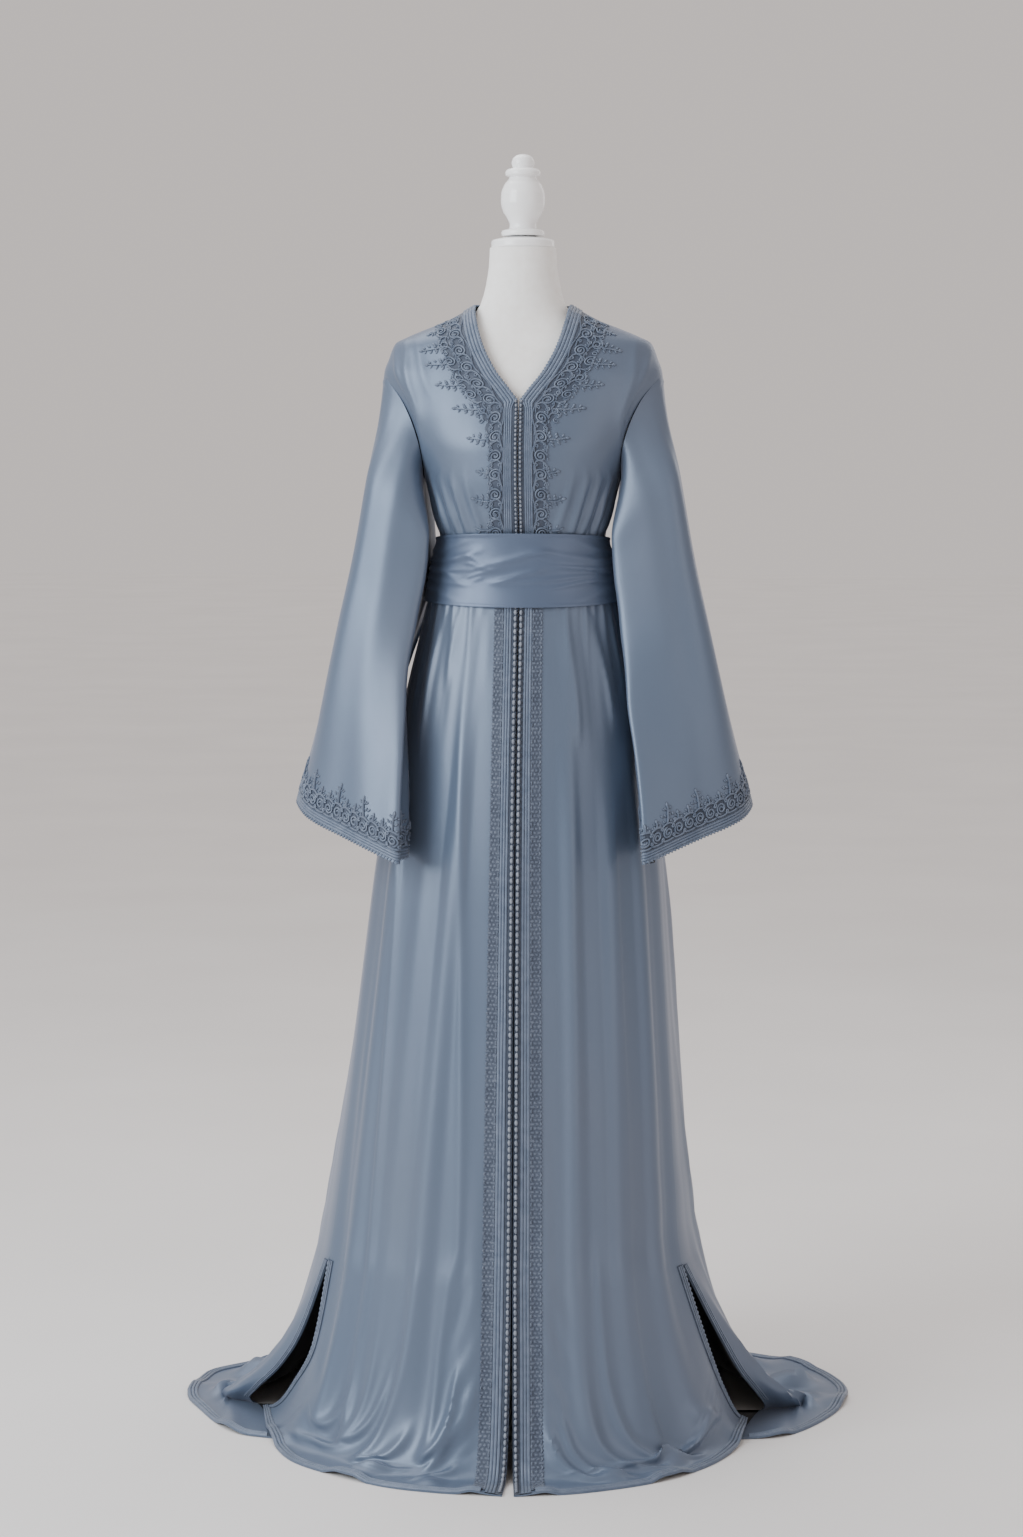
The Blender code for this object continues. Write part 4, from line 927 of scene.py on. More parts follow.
def clear_nodes(name):
    material = bpy.data.materials.new(name)
    material.use_nodes = True
    tree = material.node_tree
    shader = tree.nodes["Principled BSDF"]
    place = tree.nodes.new("ShaderNodeTexCoord")
    return material, tree, shader, place.outputs["Object"]


def noise(tree, coordinates, scale, detail=3.0, stretch=None):
    if stretch:
        mapping = tree.nodes.new("ShaderNodeMapping")
        mapping.inputs["Scale"].default_value = stretch
        tree.links.new(coordinates, mapping.inputs["Vector"])
        coordinates = mapping.outputs["Vector"]
    texture = tree.nodes.new("ShaderNodeTexNoise")
    texture.inputs["Scale"].default_value = scale
    texture.inputs["Detail"].default_value = detail
    tree.links.new(coordinates, texture.inputs["Vector"])
    return texture.outputs["Fac"]


def threads(tree, coordinates, scale, direction):
    wave = tree.nodes.new("ShaderNodeTexWave")
    wave.wave_type = "BANDS"
    wave.bands_direction = direction
    wave.inputs["Scale"].default_value = scale
    wave.inputs["Distortion"].default_value = 1.5
    wave.inputs["Detail"].default_value = 2.0
    tree.links.new(coordinates, wave.inputs["Vector"])
    return wave.outputs["Fac"]


def ramp(tree, value, stops):
    node = tree.nodes.new("ShaderNodeValToRGB")
    elements = node.color_ramp.elements
    while len(elements) < len(stops):
        elements.new(0.5)
    for element, (at, colour) in zip(elements, stops):
        element.position = at
        element.color = (colour[0], colour[1], colour[2], 1.0)
    tree.links.new(value, node.inputs["Fac"])
    return node.outputs["Color"]


def ranged(tree, value, low, high):
    node = tree.nodes.new("ShaderNodeMapRange")
    node.inputs["To Min"].default_value = low
    node.inputs["To Max"].default_value = high
    tree.links.new(value, node.inputs["Value"])
    return node.outputs["Result"]


def added(tree, first, second):
    node = tree.nodes.new("ShaderNodeMath")
    node.operation = "ADD"
    tree.links.new(first, node.inputs[0])
    tree.links.new(second, node.inputs[1])
    return node.outputs["Value"]


def raised(tree, shader, height, strength, distance):
    node = tree.nodes.new("ShaderNodeBump")
    node.inputs["Strength"].default_value = strength
    node.inputs["Distance"].default_value = distance
    tree.links.new(height, node.inputs["Height"])
    tree.links.new(node.outputs["Normal"], shader.inputs["Normal"])


def set_values(shader, values):
    for name, value in values.items():
        shader.inputs[name].default_value = value


def satin_material(name, stops, metallic, roughness, sheen):
    material, tree, shader, place = clear_nodes(name)
    tone = noise(tree, place, 5.0, 2.0, (1.0, 1.0, 0.35))
    tree.links.new(ramp(tree, tone, stops), shader.inputs["Base Color"])
    slub = noise(tree, place, 60.0, 4.0, (1.0, 1.0, 0.12))
    tree.links.new(ranged(tree, slub, roughness[0], roughness[1]), shader.inputs["Roughness"])
    weave = added(tree, threads(tree, place, 620.0, "Z"), threads(tree, place, 620.0, "X"))
    raised(tree, shader, weave, 0.10, 0.00015)
    set_values(shader, {
        "Metallic": metallic, "Specular IOR Level": 0.5, "Sheen Weight": sheen, "Sheen Roughness": 0.35,
        "Sheen Tint": (0.72, 0.74, 0.92, 1.0),
    })
    return material


def thread_material(name, dark, pale, roughness, scale, depth, metallic=0.0):
    material, tree, shader, place = clear_nodes(name)
    tone = noise(tree, place, 90.0, 4.0)
    tree.links.new(ramp(tree, tone, ((0.3, dark), (0.7, pale))), shader.inputs["Base Color"])
    wear = ranged(tree, noise(tree, place, 300.0, 3.0), roughness - 0.08, roughness + 0.08)
    tree.links.new(wear, shader.inputs["Roughness"])
    twist = added(tree, threads(tree, place, scale, "DIAGONAL"), noise(tree, place, scale * 2.0, 2.0))
    raised(tree, shader, twist, 0.35, depth)
    set_values(shader, {
        "Metallic": metallic, "Specular IOR Level": 0.45, "Sheen Weight": 0.2, "Sheen Roughness": 0.4,
    })
    return material


def gloss_material(name):
    material, tree, shader, place = clear_nodes(name)
    tone = noise(tree, place, 14.0, 3.0)
    stops = ((0.3, (0.93, 0.93, 0.94)), (0.7, (0.97, 0.97, 0.97)))
    tree.links.new(ramp(tree, tone, stops), shader.inputs["Base Color"])
    tree.links.new(ranged(tree, noise(tree, place, 180.0, 4.0), 0.20, 0.30), shader.inputs["Roughness"])
    raised(tree, shader, noise(tree, place, 70.0, 2.0), 0.04, 0.0004)
    set_values(shader, {"Specular IOR Level": 0.5, "Coat Weight": 0.4, "Coat Roughness": 0.12})
    return material


SATIN = satin_material(
    "satin",
    ((0.30, (0.096, 0.133, 0.198)), (0.52, (0.110, 0.145, 0.209)), (0.75, (0.120, 0.148, 0.205))),
    0.30, (0.33, 0.43), 0.25,
)
SASH_SATIN = satin_material(
    "sash_satin",
    ((0.30, (0.078, 0.112, 0.178)), (0.52, (0.090, 0.122, 0.190)), (0.75, (0.098, 0.127, 0.186))),
    0.35, (0.33, 0.43), 0.20,
)
# The cloth's inside is near-black: painted shade inside the garment, on every shell and on the sash.
PAINTED_SHADE_LINING = thread_material("painted_shade_lining", (0.004, 0.005, 0.008), (0.008, 0.010, 0.014), 0.75, 900.0, 0.0001)
BRAID = thread_material("braid", (0.092, 0.124, 0.184), (0.138, 0.172, 0.240), 0.40, 700.0, 0.0003, 0.15)
# Dark braid: the button strips' own dark colour, and painted shade in the grooves between cords.
DARK_STRIP_AND_GROOVE_SHADE = thread_material("dark_strip_and_groove_shade", (0.030, 0.042, 0.068), (0.050, 0.066, 0.100), 0.60, 900.0, 0.0003)
# Ground: the embroidery's stitched field, whose darkness is partly its own and partly painted shade between
# the cords; also painted shade in the lace's holes and under the leaves.
GROUND_AND_SHADE = thread_material("ground_and_painted_shade", (0.036, 0.049, 0.078), (0.062, 0.080, 0.120), 0.55, 900.0, 0.0003)
CORD = thread_material("cord", (0.092, 0.122, 0.180), (0.138, 0.170, 0.234), 0.42, 700.0, 0.0003, 0.15)
LACE = thread_material("lace", (0.080, 0.102, 0.150), (0.122, 0.148, 0.200), 0.48, 700.0, 0.0003, 0.1)
KNOT = thread_material("knot", (0.150, 0.172, 0.220), (0.245, 0.270, 0.325), 0.38, 800.0, 0.0003, 0.1)
JERSEY = thread_material("jersey", (0.90, 0.88, 0.85), (0.95, 0.94, 0.92), 0.82, 420.0, 0.0002)
GLOSS = gloss_material("gloss")


def placed(piece, slot, *nodes):
    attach(piece, "root")
    if nodes:
        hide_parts(*nodes)
    return piece


PANELS = ("front_left", "front_right", "back_left", "back_right")
SIGNS = {
    "front_left": 1, "front_right": -1, "back_left": -1, "back_right": 1,
    "sleeve_left": 1, "sleeve_right": -1,
}
CUFF_ROWS = 46


def hem_lift(points, marks):
    """How far the hem stands off the floor in low waves, fading out up the flare."""
    along = lengths_along(points[0])
    waves = np.clip(np.sin(along * 29.0 + 1.0) + 0.6 * np.sin(along * 61.0), 0.0, 1.2)
    ends = smooth(along / 0.06) * smooth((along[-1] - along) / 0.08)
    return 0.0050 * waves * ends * smooth((0.075 - marks) / 0.085)


# The cloth's surfaces, then the creases on them
plain, surfaces, normals = {}, {}, {}
for name in PANELS:
    points, shares, marks = panel_grid(name)
    stand = panel_relief(name, points, shares, marks)
    creased = points + grid_normals(points) * SIGNS[name] * stand[..., None]
    creased[..., 2] = np.maximum(creased[..., 2] + hem_lift(points, marks), FLOOR_LEAST)
    plain[name] = points
    surfaces[name] = creased
    normals[name] = grid_normals(creased) * SIGNS[name]
for side, side_name in ((-1, "left"), (1, "right")):
    name = "sleeve_" + side_name
    points, turn, t = sleeve_grid(side, plain["front_" + side_name], plain["back_" + side_name])
    points = boxed_front(side, points, turn, t)
    stand = sleeve_relief(side, points, turn, t)
    surfaces[name] = points + grid_normals(points, True) * SIGNS[name] * stand[..., None]
    normals[name] = grid_normals(surfaces[name], True) * SIGNS[name]

cloth = {}
for side_name in ("left", "right"):
    for kind, closed in (("front_", False), ("sleeve_", True)):
        name = kind + side_name
        piece = shell(
            name + "_cloth", surfaces[name], normals[name], closed, SIGNS[name] > 0, [SATIN, PAINTED_SHADE_LINING],
        )
        cloth[name] = placed(piece, "satin", name)
back_points = np.concatenate([surfaces["back_left"][:, ::-1], surfaces["back_right"][:, 1:]], axis=1)
middle_normals = unit(normals["back_left"][:, :1] + normals["back_right"][:, :1])
back_normals = np.concatenate(
    [normals["back_left"][:, :0:-1], middle_normals, normals["back_right"][:, 1:]], axis=1,
)
cloth["back"] = placed(
    shell("back_cloth", back_points, back_normals, False, True, [SATIN, PAINTED_SHADE_LINING]), "satin", "back",
)

# Edges that carry trim: the centre front, the hems, the slits and the cuffs
EDGES = {}
for name in PANELS:
    points, facing = surfaces[name], normals[name]
    near = slice(0, len(FLARE_MARKS))
    if name.startswith("front"):
        EDGES[name] = EdgeMap(points, facing, SIGNS[name] > 0)
    EDGES["hem_" + name] = EdgeMap(
        points[near].transpose(1, 0, 2), facing[near].transpose(1, 0, 2), SIGNS[name] < 0,
    )
    EDGES["slit_" + name] = EdgeMap(points[near, ::-1], facing[near, ::-1], SIGNS[name] < 0)
for name in ("sleeve_left", "sleeve_right"):
    around, facing = [
        np.concatenate([grid, grid[:, :1]], axis=1)[::-1][:CUFF_ROWS].transpose(1, 0, 2)
        for grid in (surfaces[name], normals[name])
    ]
    EDGES[name] = EdgeMap(around, facing, SIGNS[name] > 0)


# Pitch of the knotted buttons on the skirt and on the chest
KNOT_PITCH = 0.0092
CHEST_PITCH = 0.0062

# Distances in from the centre edge: the button strip, then the cords, then the lace or the embroidery
STRIP = (0.0002, 0.0076)
CORD_BAND = (0.0079, 0.0191)
LACE_IN = 0.0193
LACE_OUT = 0.0322
CHEST_CORDS_OUT = 0.0195
GROUND_IN = 0.0196
PICOT_PITCH = 0.0058
STITCH_RATES = (2100.0, 61.0)

# Cord bands: pitch, lift of the grooves, height of a cord, lift below which a groove takes painted shade
# The neck's pitch is a share of its band, which narrows above the neckline's point.
SKIRT_CORDS = (0.00373, 0.0014, 0.0015, 0.0019)
NECK_CORDS = (0.25, 0.0014, 0.0014, 0.0018)
CUFF_CORDS = (0.00387, 0.0013, 0.0016, 0.0018)
HEM_CORDS = (0.00497, 0.0012, 0.0024, 0.0020)
SLIT_CORDS = (0.0040, 0.0012, 0.0019, 0.0020)

# Distances in from the cuff's, the hem's and the slit's edge between which their cords lie
CUFF_BAND = (0.0034, 0.0150)
HEM_CORD_BAND = (0.0006, 0.0155)
SLIT_CORD_BAND = (0.0006, 0.0126)

# Beads: half length, half width, half height
SKIRT_KNOT = (0.0040, 0.0023, 0.0024)
CHEST_KNOT = (0.0023, 0.0017, 0.0018)
NECK_PICOT = (0.0022, 0.0017, 0.0017)
SLIT_PICOT = (0.0027, 0.0022, 0.0018)
ROPE_BEAD = (0.0034, 0.0019, 0.0020)
CHEST_LEAF = (0.0033, 0.0019, 0.0015)
# The shades are flat dark beads under the leaves: painted shade round each leaf.
CHEST_SHADE = (0.0041, 0.0024, 0.0007)
CUFF_LEAF = (0.0030, 0.0016, 0.0014)
CUFF_SHADE = (0.0041, 0.0025, 0.0007)
LEAF_LIFT = 0.0017
SHADE_LIFT = 0.0009


def grown(edge, along):
    """How much wider the placket's bands are at a place on the centre edge."""
    return placket_growth(np.interp(along, edge.along, edge.points[:, 0, 2]))


def knot_column(name, edge, first, last, pitch, distance, lift, size, material=KNOT):
    count = int((last - first) / pitch)
    along = first + pitch * (np.arange(count) + 0.5)
    away = distance * grown(edge, along)
    centres = edge.at(along, away, lift)
    aheads = unit(edge.at(along + 0.002, away, lift) - centres)
    outs = unit(edge.at(along, away, lift + 0.002) - centres)
    return knots(name, centres, aheads, outs, size, material)


def cord_band(name, node, edge, along, across, distances, cords):
    """Half-round cords side by side along an edge, with painted shade in the grooves between them."""
    pitch, base, height, valley = cords
    phase = ((across - across[0]) / pitch) % 1.0
    lifts = base + height * np.sqrt(np.clip(1.0 - (2.0 * phase - 1.0) ** 2, 0.0, 1.0))
    return placed(strip(name, edge, along, distances, lifts, BRAID, DARK_STRIP_AND_GROOVE_SHADE, valley), "braid", node)


def bars(along, pitch):
    """The stitched bars that hold the buttons, as a wave along the strip."""
    return 0.5 + 0.5 * np.cos(2.0 * np.pi * along / pitch)[:, None]


def placket(side_name):
    """The skirt's button strip, its knots, its cords and its lace, from the hem up to the sash."""
    edge = EDGES["front_" + side_name]
    node = "button_row_skirt_" + side_name
    top = edge.along_at_height(SASH_LOW)
    along = np.arange(0.0, top, 0.0023)
    share = np.linspace(0.0, 1.0, 9)
    lifts = 0.0016 + 0.0007 * bars(along, KNOT_PITCH) * smooth((share - 0.5) / 0.3)
    lifts = lifts + 0.0008 * bump(share - 0.02, 0.10)
    made = [
        placed(strip(
            "button_strip_" + side_name, edge, along, np.linspace(*STRIP, 9) * grown(edge, along)[:, None],
            lifts, DARK_STRIP_AND_GROOVE_SHADE,
        ), "buttons", node),
        placed(knot_column(
            "knots_skirt_" + side_name, edge, 0.004, top, KNOT_PITCH, 0.0031, 0.0037, SKIRT_KNOT,
        ), "buttons", node),
    ]
    along = np.linspace(0.0, top, 190)
    across = np.linspace(*CORD_BAND, 31)
    made.append(cord_band(
        "skirt_cords_" + side_name, "braid_skirt_" + side_name, edge, along, across,
        across * grown(edge, along)[:, None], SKIRT_CORDS,
    ))
    along = np.arange(HEM_BAND * 0.6, top, 0.0014)
    wide = grown(edge, along)[:, None]
    share = np.linspace(0.0, 1.0, 14)
    ripple = np.sin(np.pi * along / PICOT_PITCH)[:, None]
    outer = LACE_OUT + 0.0015 * np.abs(ripple)
    weave = np.abs(ripple * np.sin(3.0 * np.pi * share + 0.9 * ripple))
    uneven = 0.5 + 0.5 * np.sin(along * 2741.0)[:, None] * np.sin(share * 23.0 + along[:, None] * 900.0)
    rails = bump(share - 0.07, 0.08) + bump(share - 0.90, 0.07)
    # The lace's low places take the ground's dark colour: painted shade in its holes.
    made.append(placed(strip(
        "skirt_lace_" + side_name, edge, along, (LACE_IN + (outer - LACE_IN) * share) * wide,
        0.0012 + 0.0013 * weave + 0.0004 * uneven + 0.0007 * rails, LACE, GROUND_AND_SHADE, 0.0021,
    ), "braid", "lace_skirt_" + side_name))
    return made


def neck_trim(side_name):
    """Cords up the chest and round the neckline, a picot edge, and the chest's knots."""
    edge = EDGES["front_" + side_name]
    braid = "braid_neck_" + side_name
    buttons = "button_row_chest_" + side_name
    low = edge.along_at_height(SASH_HIGH)
    point = edge.along_at_height(NECK_POINT)
    along = np.linspace(low, edge.total - 0.0004, 230)
    inner = 0.0078 * (1.0 - smooth((along - point + 0.010) / 0.016))[:, None] + 0.0004
    share = np.linspace(0.0, 1.0, 33)
    made = [cord_band(
        "neck_cords_" + side_name, braid, edge, along, share, inner + (CHEST_CORDS_OUT - inner) * share,
        NECK_CORDS,
    )]
    along = np.arange(low, point + 0.004, 0.002)
    lifts = 0.0015 + 0.0007 * bars(along, CHEST_PITCH) * smooth((np.linspace(0.0, 1.0, 9) - 0.5) / 0.3)
    made.append(placed(strip(
        "chest_strip_" + side_name, edge, along, np.linspace(*STRIP, 9), lifts, DARK_STRIP_AND_GROOVE_SHADE,
    ), "buttons", buttons))
    made.append(placed(knot_column(
        "knots_chest_" + side_name, edge, low, point + 0.003, CHEST_PITCH, 0.0026, 0.0034, CHEST_KNOT,
    ), "buttons", buttons))
    made.append(placed(knot_column(
        "picot_neck_" + side_name, edge, point, edge.total, 0.0052, 0.0006, 0.0012, NECK_PICOT, BRAID,
    ), "braid", braid))
    return made


def spiral(centre, radius, turns, start, hand, steps=26):
    """A scroll in map distances, from its rim in to its eye."""
    share = np.linspace(0.0, 1.0, steps)
    angle = start + hand * 2.0 * np.pi * turns * share
    reach = radius * (1.0 - 0.80 * share)
    return np.stack([centre[0] + reach * np.cos(angle), centre[1] + reach * np.sin(angle)], axis=-1)


def curl(start, end, bulge, steps=12):
    """A bowed stroke from one place to another."""
    share = np.linspace(0.0, 1.0, steps)[:, None]
    start = np.array(start)
    end = np.array(end)
    side = np.array([-(end - start)[1], (end - start)[0]])
    return start + (end - start) * share + side * bulge * np.sin(np.pi * share)


def sprig(base, tip, spread):
    """A twig in map distances: its stem, and its leaves as rows of place, distance, angle and size."""
    base = np.array(base)
    tip = np.array(tip)
    run = tip - base
    reach = np.linalg.norm(run)
    ahead = math.atan2(run[1], run[0])
    across = np.array([-run[1], run[0]]) / reach
    leaves = [(tip[0], tip[1], ahead, 1.1)]
    pairs = max(2, int(reach / 0.0080))
    for index in range(pairs):
        share = (index + 0.4) / pairs
        wide = 1.2 * spread * (1.0 - 0.72 * share)
        foot = base + run * share
        for hand in (-1.0, 1.0):
            spot = foot + across * hand * wide
            leaves.append((spot[0], spot[1], ahead + hand * 0.9, 1.0 - 0.25 * share))
            if wide > 0.0055:
                inner = foot + across * hand * wide * 0.45
                leaves.append((inner[0], inner[1], ahead + hand * 0.7, 0.9))
    return [curl(base, tip, 0.04)], leaves


def leaf_beads(name, node, edge, leaves, size, lift, material):
    """Small satin-stitched leaves, and the flat dark beads of painted shade under them, each turned its own
    way on the cloth.
    """
    along, distance, angle, scale = np.array(leaves).T
    centres = edge.at(along, distance, lift)
    one = edge.at(along + 0.001, distance, lift) - centres
    two = edge.at(along, distance + 0.001, lift) - centres
    outs = unit(edge.at(along, distance, lift + 0.001) - centres)
    aheads = unit(one * np.cos(angle)[:, None] + two * np.sin(angle)[:, None])
    return placed(knots(name, centres, aheads, outs, size, material, scale, 5, 6), "braid", node)


def scrolls(name, node, edge, strokes, sizes, low, high, lift):
    """Thick cords along strokes in map distances, kept between two places on the edge."""
    paths = [edge.at(np.clip(stroke[:, 0], low, high), stroke[:, 1], lift) for stroke in strokes]
    return placed(tubes(name, paths, sizes), "braid", node)


def stitched_ground(name, node, edge, along, inner, outer, steps):
    """A flat, closely stitched field with a soft outer edge, which the embroidery lies on."""
    share = np.linspace(0.0, 1.0, steps)
    grain = np.sin((along - along[0])[:, None] * STITCH_RATES[0]) * np.sin(share * STITCH_RATES[1])
    lifts = 0.0012 + 0.0002 * grain - 0.0006 * smooth((share - 0.92) / 0.08)
    return placed(strip(name, edge, along, inner + (outer - inner) * share, lifts, GROUND_AND_SHADE), "braid", node)


# Sprigs of the chest embroidery: place along the edge above the sash, lean, how far out the tip is, spread
CHEST_SPRIGS = (
    (0.018, 0.004, 0.0610, 0.0075), (0.062, 0.004, 0.0640, 0.0080), (0.104, 0.004, 0.0560, 0.0070),
    (0.158, 0.008, 0.0700, 0.0085), (0.206, 0.010, 0.0870, 0.0085), (0.250, 0.006, 0.0880, 0.0085),
    (0.288, 0.002, 0.0880, 0.0080), (0.318, -0.002, 0.0880, 0.0075), (0.352, -0.004, 0.0720, 0.0070),
)


def leaf_fan(middle, distance, reach, first):
    """Four leaves in a fan beyond a roundel."""
    fan = []
    for turn in first + 0.7 * np.arange(4):
        along = middle + (reach + 0.0004) * math.cos(turn)
        fan.append((along, distance + reach * math.sin(turn), turn + 1.3, 0.8))
    return fan


def yoke(run):
    """Grows from 0 to 1 where the embroidery widens towards the shoulder."""
    return smooth((run - 0.130) / 0.110)


def chest_embroidery(side_name):
    """Scrolls, roundels and sprigs on a closely stitched ground beside the cords."""
    edge = EDGES["front_" + side_name]
    node = "embroidery_" + side_name
    low = edge.along_at_height(SASH_HIGH) + 0.002
    high = edge.total - 0.004
    along = np.arange(low, high, 0.0016)
    scallop = np.abs(np.sin(np.pi * (along - low) / 0.0205))
    outer = 0.0365 + 0.0060 * scallop + 0.0170 * yoke(along - low)
    pitch = 0.0290
    strokes, sizes, leaves = [], [], []

    def add(size, *parts):
        strokes.extend(parts)
        sizes.extend([size] * len(parts))

    for index in range(int((high - low) / pitch)):
        middle = low + pitch * (index + 0.5)
        join = middle + 0.5 * pitch
        wide = float(yoke(middle - low))
        hand = 1.0 if index % 2 else -1.0
        eye = 0.0310 + 0.003 * wide
        add(0.00125, spiral((middle, eye), 0.0094, 1.9, -0.5 * np.pi * hand, hand, 34))
        add(
            0.0011, spiral((middle, eye), 0.0016, 1.0, 0.0, 1.0, 9),
            curl((middle - 0.5 * pitch, 0.0222), (join, 0.0222), 0.10 * hand),
        )
        add(
            0.00115, curl((middle + 0.004, eye - 0.0085), (join + 0.010, eye + 0.0070), -0.30),
            curl((middle + 0.006, eye + 0.0085), (join + 0.008, eye - 0.0060), 0.30),
        )
        add(
            0.0010, spiral((join, eye + 0.0075), 0.0038, 1.3, 0.0, -hand, 16),
            spiral((join, eye - 0.0060), 0.0030, 1.2, np.pi, hand, 14),
        )
        leaves += leaf_fan(middle, eye, 0.0108, 0.5)
        if wide > 0.25:
            far = eye + 0.0165 + 0.0030 * wide
            add(0.00115, spiral((join, far), 0.0072 * wide + 0.001, 1.7, 0.4, -hand, 30))
            add(
                0.0011, curl((middle, eye + 0.0095), (join - 0.004, far + 0.006), 0.30 * hand),
                curl((join, far - 0.006), (middle + pitch, eye + 0.0095), -0.25 * hand),
            )
            add(0.0010, spiral((middle, far + 0.002), 0.0040, 1.3, 0.0, hand, 16))
            leaves += leaf_fan(join, far, 0.0094, 0.4)
    for place, lean, far, spread in CHEST_SPRIGS:
        start = low + place
        if start < high - 0.01:
            foot = 0.0400 + 0.0150 * float(yoke(place))
            stems, buds = sprig((start, foot), (start + lean, far), spread)
            add(0.0010, *stems)
            leaves += buds
    leaves = [leaf for leaf in leaves if leaf[0] < high]
    return [
        stitched_ground("chest_ground_" + side_name, node, edge, along, GROUND_IN, outer[:, None], 21),
        scrolls("chest_scrolls_" + side_name, node, edge, strokes, sizes, -np.inf, high, 0.0022),
        leaf_beads("chest_leaves_" + side_name, node, edge, leaves, CHEST_LEAF, LEAF_LIFT, CORD),
        # Flat dark beads under the leaves: painted shade round each one.
        leaf_beads("chest_shades_" + side_name, node, edge, leaves, CHEST_SHADE, SHADE_LIFT, GROUND_AND_SHADE),
    ]


def cuff_trim(side_name):
    """A rope edge, cords, a band of roundels and sprigs round the cuff."""
    edge = EDGES["sleeve_" + side_name]
    braid = "cuff_braid_" + side_name
    node = "cuff_embroidery_" + side_name
    total = edge.total
    across = np.linspace(*CUFF_BAND, 25)
    count = round(total / 0.0056)
    rope = [(total * (index + 0.5) / count, 0.0014, 0.9, 1.0) for index in range(count)]
    along = np.linspace(0.0, total, 460)
    waves = 3 * round(total / 0.0186 / 3)
    step = total / waves
    scallop = np.abs(np.sin(np.pi * waves * along / total))
    outer = 0.0156 + 0.0255 + 0.0045 * scallop
    strokes, leaves = [], []
    for index in range(waves):
        middle = total * (index + 0.5) / waves
        join = middle + 0.5 * step
        hand = 1.0 if index % 2 else -1.0
        strokes += [
            spiral((middle, 0.0290), 0.0080, 1.8, -0.5 * np.pi * hand, hand, 30),
            curl((middle - 0.5 * step, 0.0385), (join, 0.0385), 0.16),
            curl((middle - 0.5 * step, 0.0192), (join, 0.0192), -0.06),
            spiral((join, 0.0225), 0.0026, 1.2, 0.0, hand, 12),
            spiral((join, 0.0360), 0.0030, 1.2, 0.0, -hand, 12),
        ]
        if index % 3 == 1:
            stems, buds = sprig((middle, 0.0410), (middle + 0.002 * hand, 0.0670), 0.0120)
        else:
            stems, buds = sprig((middle, 0.0405), (middle, 0.0505), 0.0060)
        strokes += stems
        leaves += buds
    sizes = [0.0014] * len(strokes)
    return [
        cord_band(
            "cuff_cords_" + side_name, braid, edge, np.linspace(0.0, total, 280), across, across,
            CUFF_CORDS,
        ),
        leaf_beads("cuff_rope_" + side_name, braid, edge, rope, ROPE_BEAD, 0.0008, CORD),
        stitched_ground("cuff_ground_" + side_name, node, edge, along, 0.0156, outer[:, None], 15),
        scrolls("cuff_scrolls_" + side_name, node, edge, strokes, sizes, 0.0, total, 0.0023),
        leaf_beads("cuff_leaves_" + side_name, node, edge, leaves, CUFF_LEAF, LEAF_LIFT, CORD),
        # Flat dark beads under the leaves: painted shade round each one.
        leaf_beads("cuff_shades_" + side_name, node, edge, leaves, CUFF_SHADE, SHADE_LIFT, GROUND_AND_SHADE),
    ]


def hem_cords(side_name, panel):
    """Three cords along the hem and up the slit's edge, with picots on the front's slit."""
    name = panel + "_" + side_name
    front = panel == "front"
    hem, slit = EDGES["hem_" + name], EDGES["slit_" + name]
    node = "hem_trim_front_" + side_name if front else "slit_trim_back_" + side_name
    along = np.linspace(0.030, hem.total, 190) if front else np.linspace(0.0, hem.total - 0.012, 190)
    across = np.linspace(*HEM_CORD_BAND, 22)
    made = [cord_band(
        "hem_cords_" + name, "hem_trim_" + name, hem, along, across, across, HEM_CORDS,
    )]
    along = np.linspace(0.016 if front else slit.total * 0.40, slit.total, 110)
    across = np.linspace(*SLIT_CORD_BAND, 19)
    made.append(cord_band("slit_cords_" + name, node, slit, along, across, across, SLIT_CORDS))
    if front:
        made.append(placed(knot_column(
            "slit_picots_" + side_name, slit, 0.030, slit.total, 0.0074, 0.0003, 0.0014, SLIT_PICOT, BRAID,
        ), "braid", node))
    return made


trims = {}
for side_name in ("left", "right"):
    trims["front_" + side_name] = (
        placket(side_name) + neck_trim(side_name) + chest_embroidery(side_name)
        + hem_cords(side_name, "front")
    )
    trims["sleeve_" + side_name] = cuff_trim(side_name)
trims["back"] = hem_cords("left", "back") + hem_cords("right", "back")


# Folds in the sash: height share where it is pinched at the sides, share where it fans out, height, width
SASH_FOLDS = (
    (0.22, 0.04, 0.0036, 0.0046), (0.37, 0.28, 0.0042, 0.0040), (0.50, 0.52, 0.0046, 0.0038),
    (0.63, 0.70, 0.0042, 0.0040), (0.78, 0.94, 0.0036, 0.0048),
)
# Long soft folds across the sash's front: angle and share at each end, height, width
SASH_SWEEPS = (
    (1.35, 0.54, -0.10, 0.80, 0.0032, 0.0060), (1.30, 0.46, 0.05, 0.60, 0.0028, 0.0024),
    (1.20, 0.40, -0.30, 0.36, 0.0030, 0.0028), (1.05, 0.33, 0.10, 0.26, 0.0024, 0.0024),
    (0.45, 0.74, -0.45, 0.60, 0.0036, 0.0045), (0.35, 0.48, -0.40, 0.34, 0.0034, 0.0040),
    (-0.95, 0.62, -0.35, 0.80, 0.0020, 0.0050), (-1.25, 0.52, -0.45, 0.30, 0.0020, 0.0036),
    (-0.72, 0.70, -0.15, 0.50, 0.0014, 0.0020), (-0.70, 0.36, -0.10, 0.56, 0.0012, 0.0020),
    (-0.66, 0.58, -0.26, 0.52, 0.0011, 0.0017), (-0.60, 0.46, -0.30, 0.60, 0.0010, 0.0016),
    (-0.56, 0.30, -0.36, 0.44, 0.0010, 0.0016),
)
SASH_COLUMNS = 176
SASH_ROWS = 58


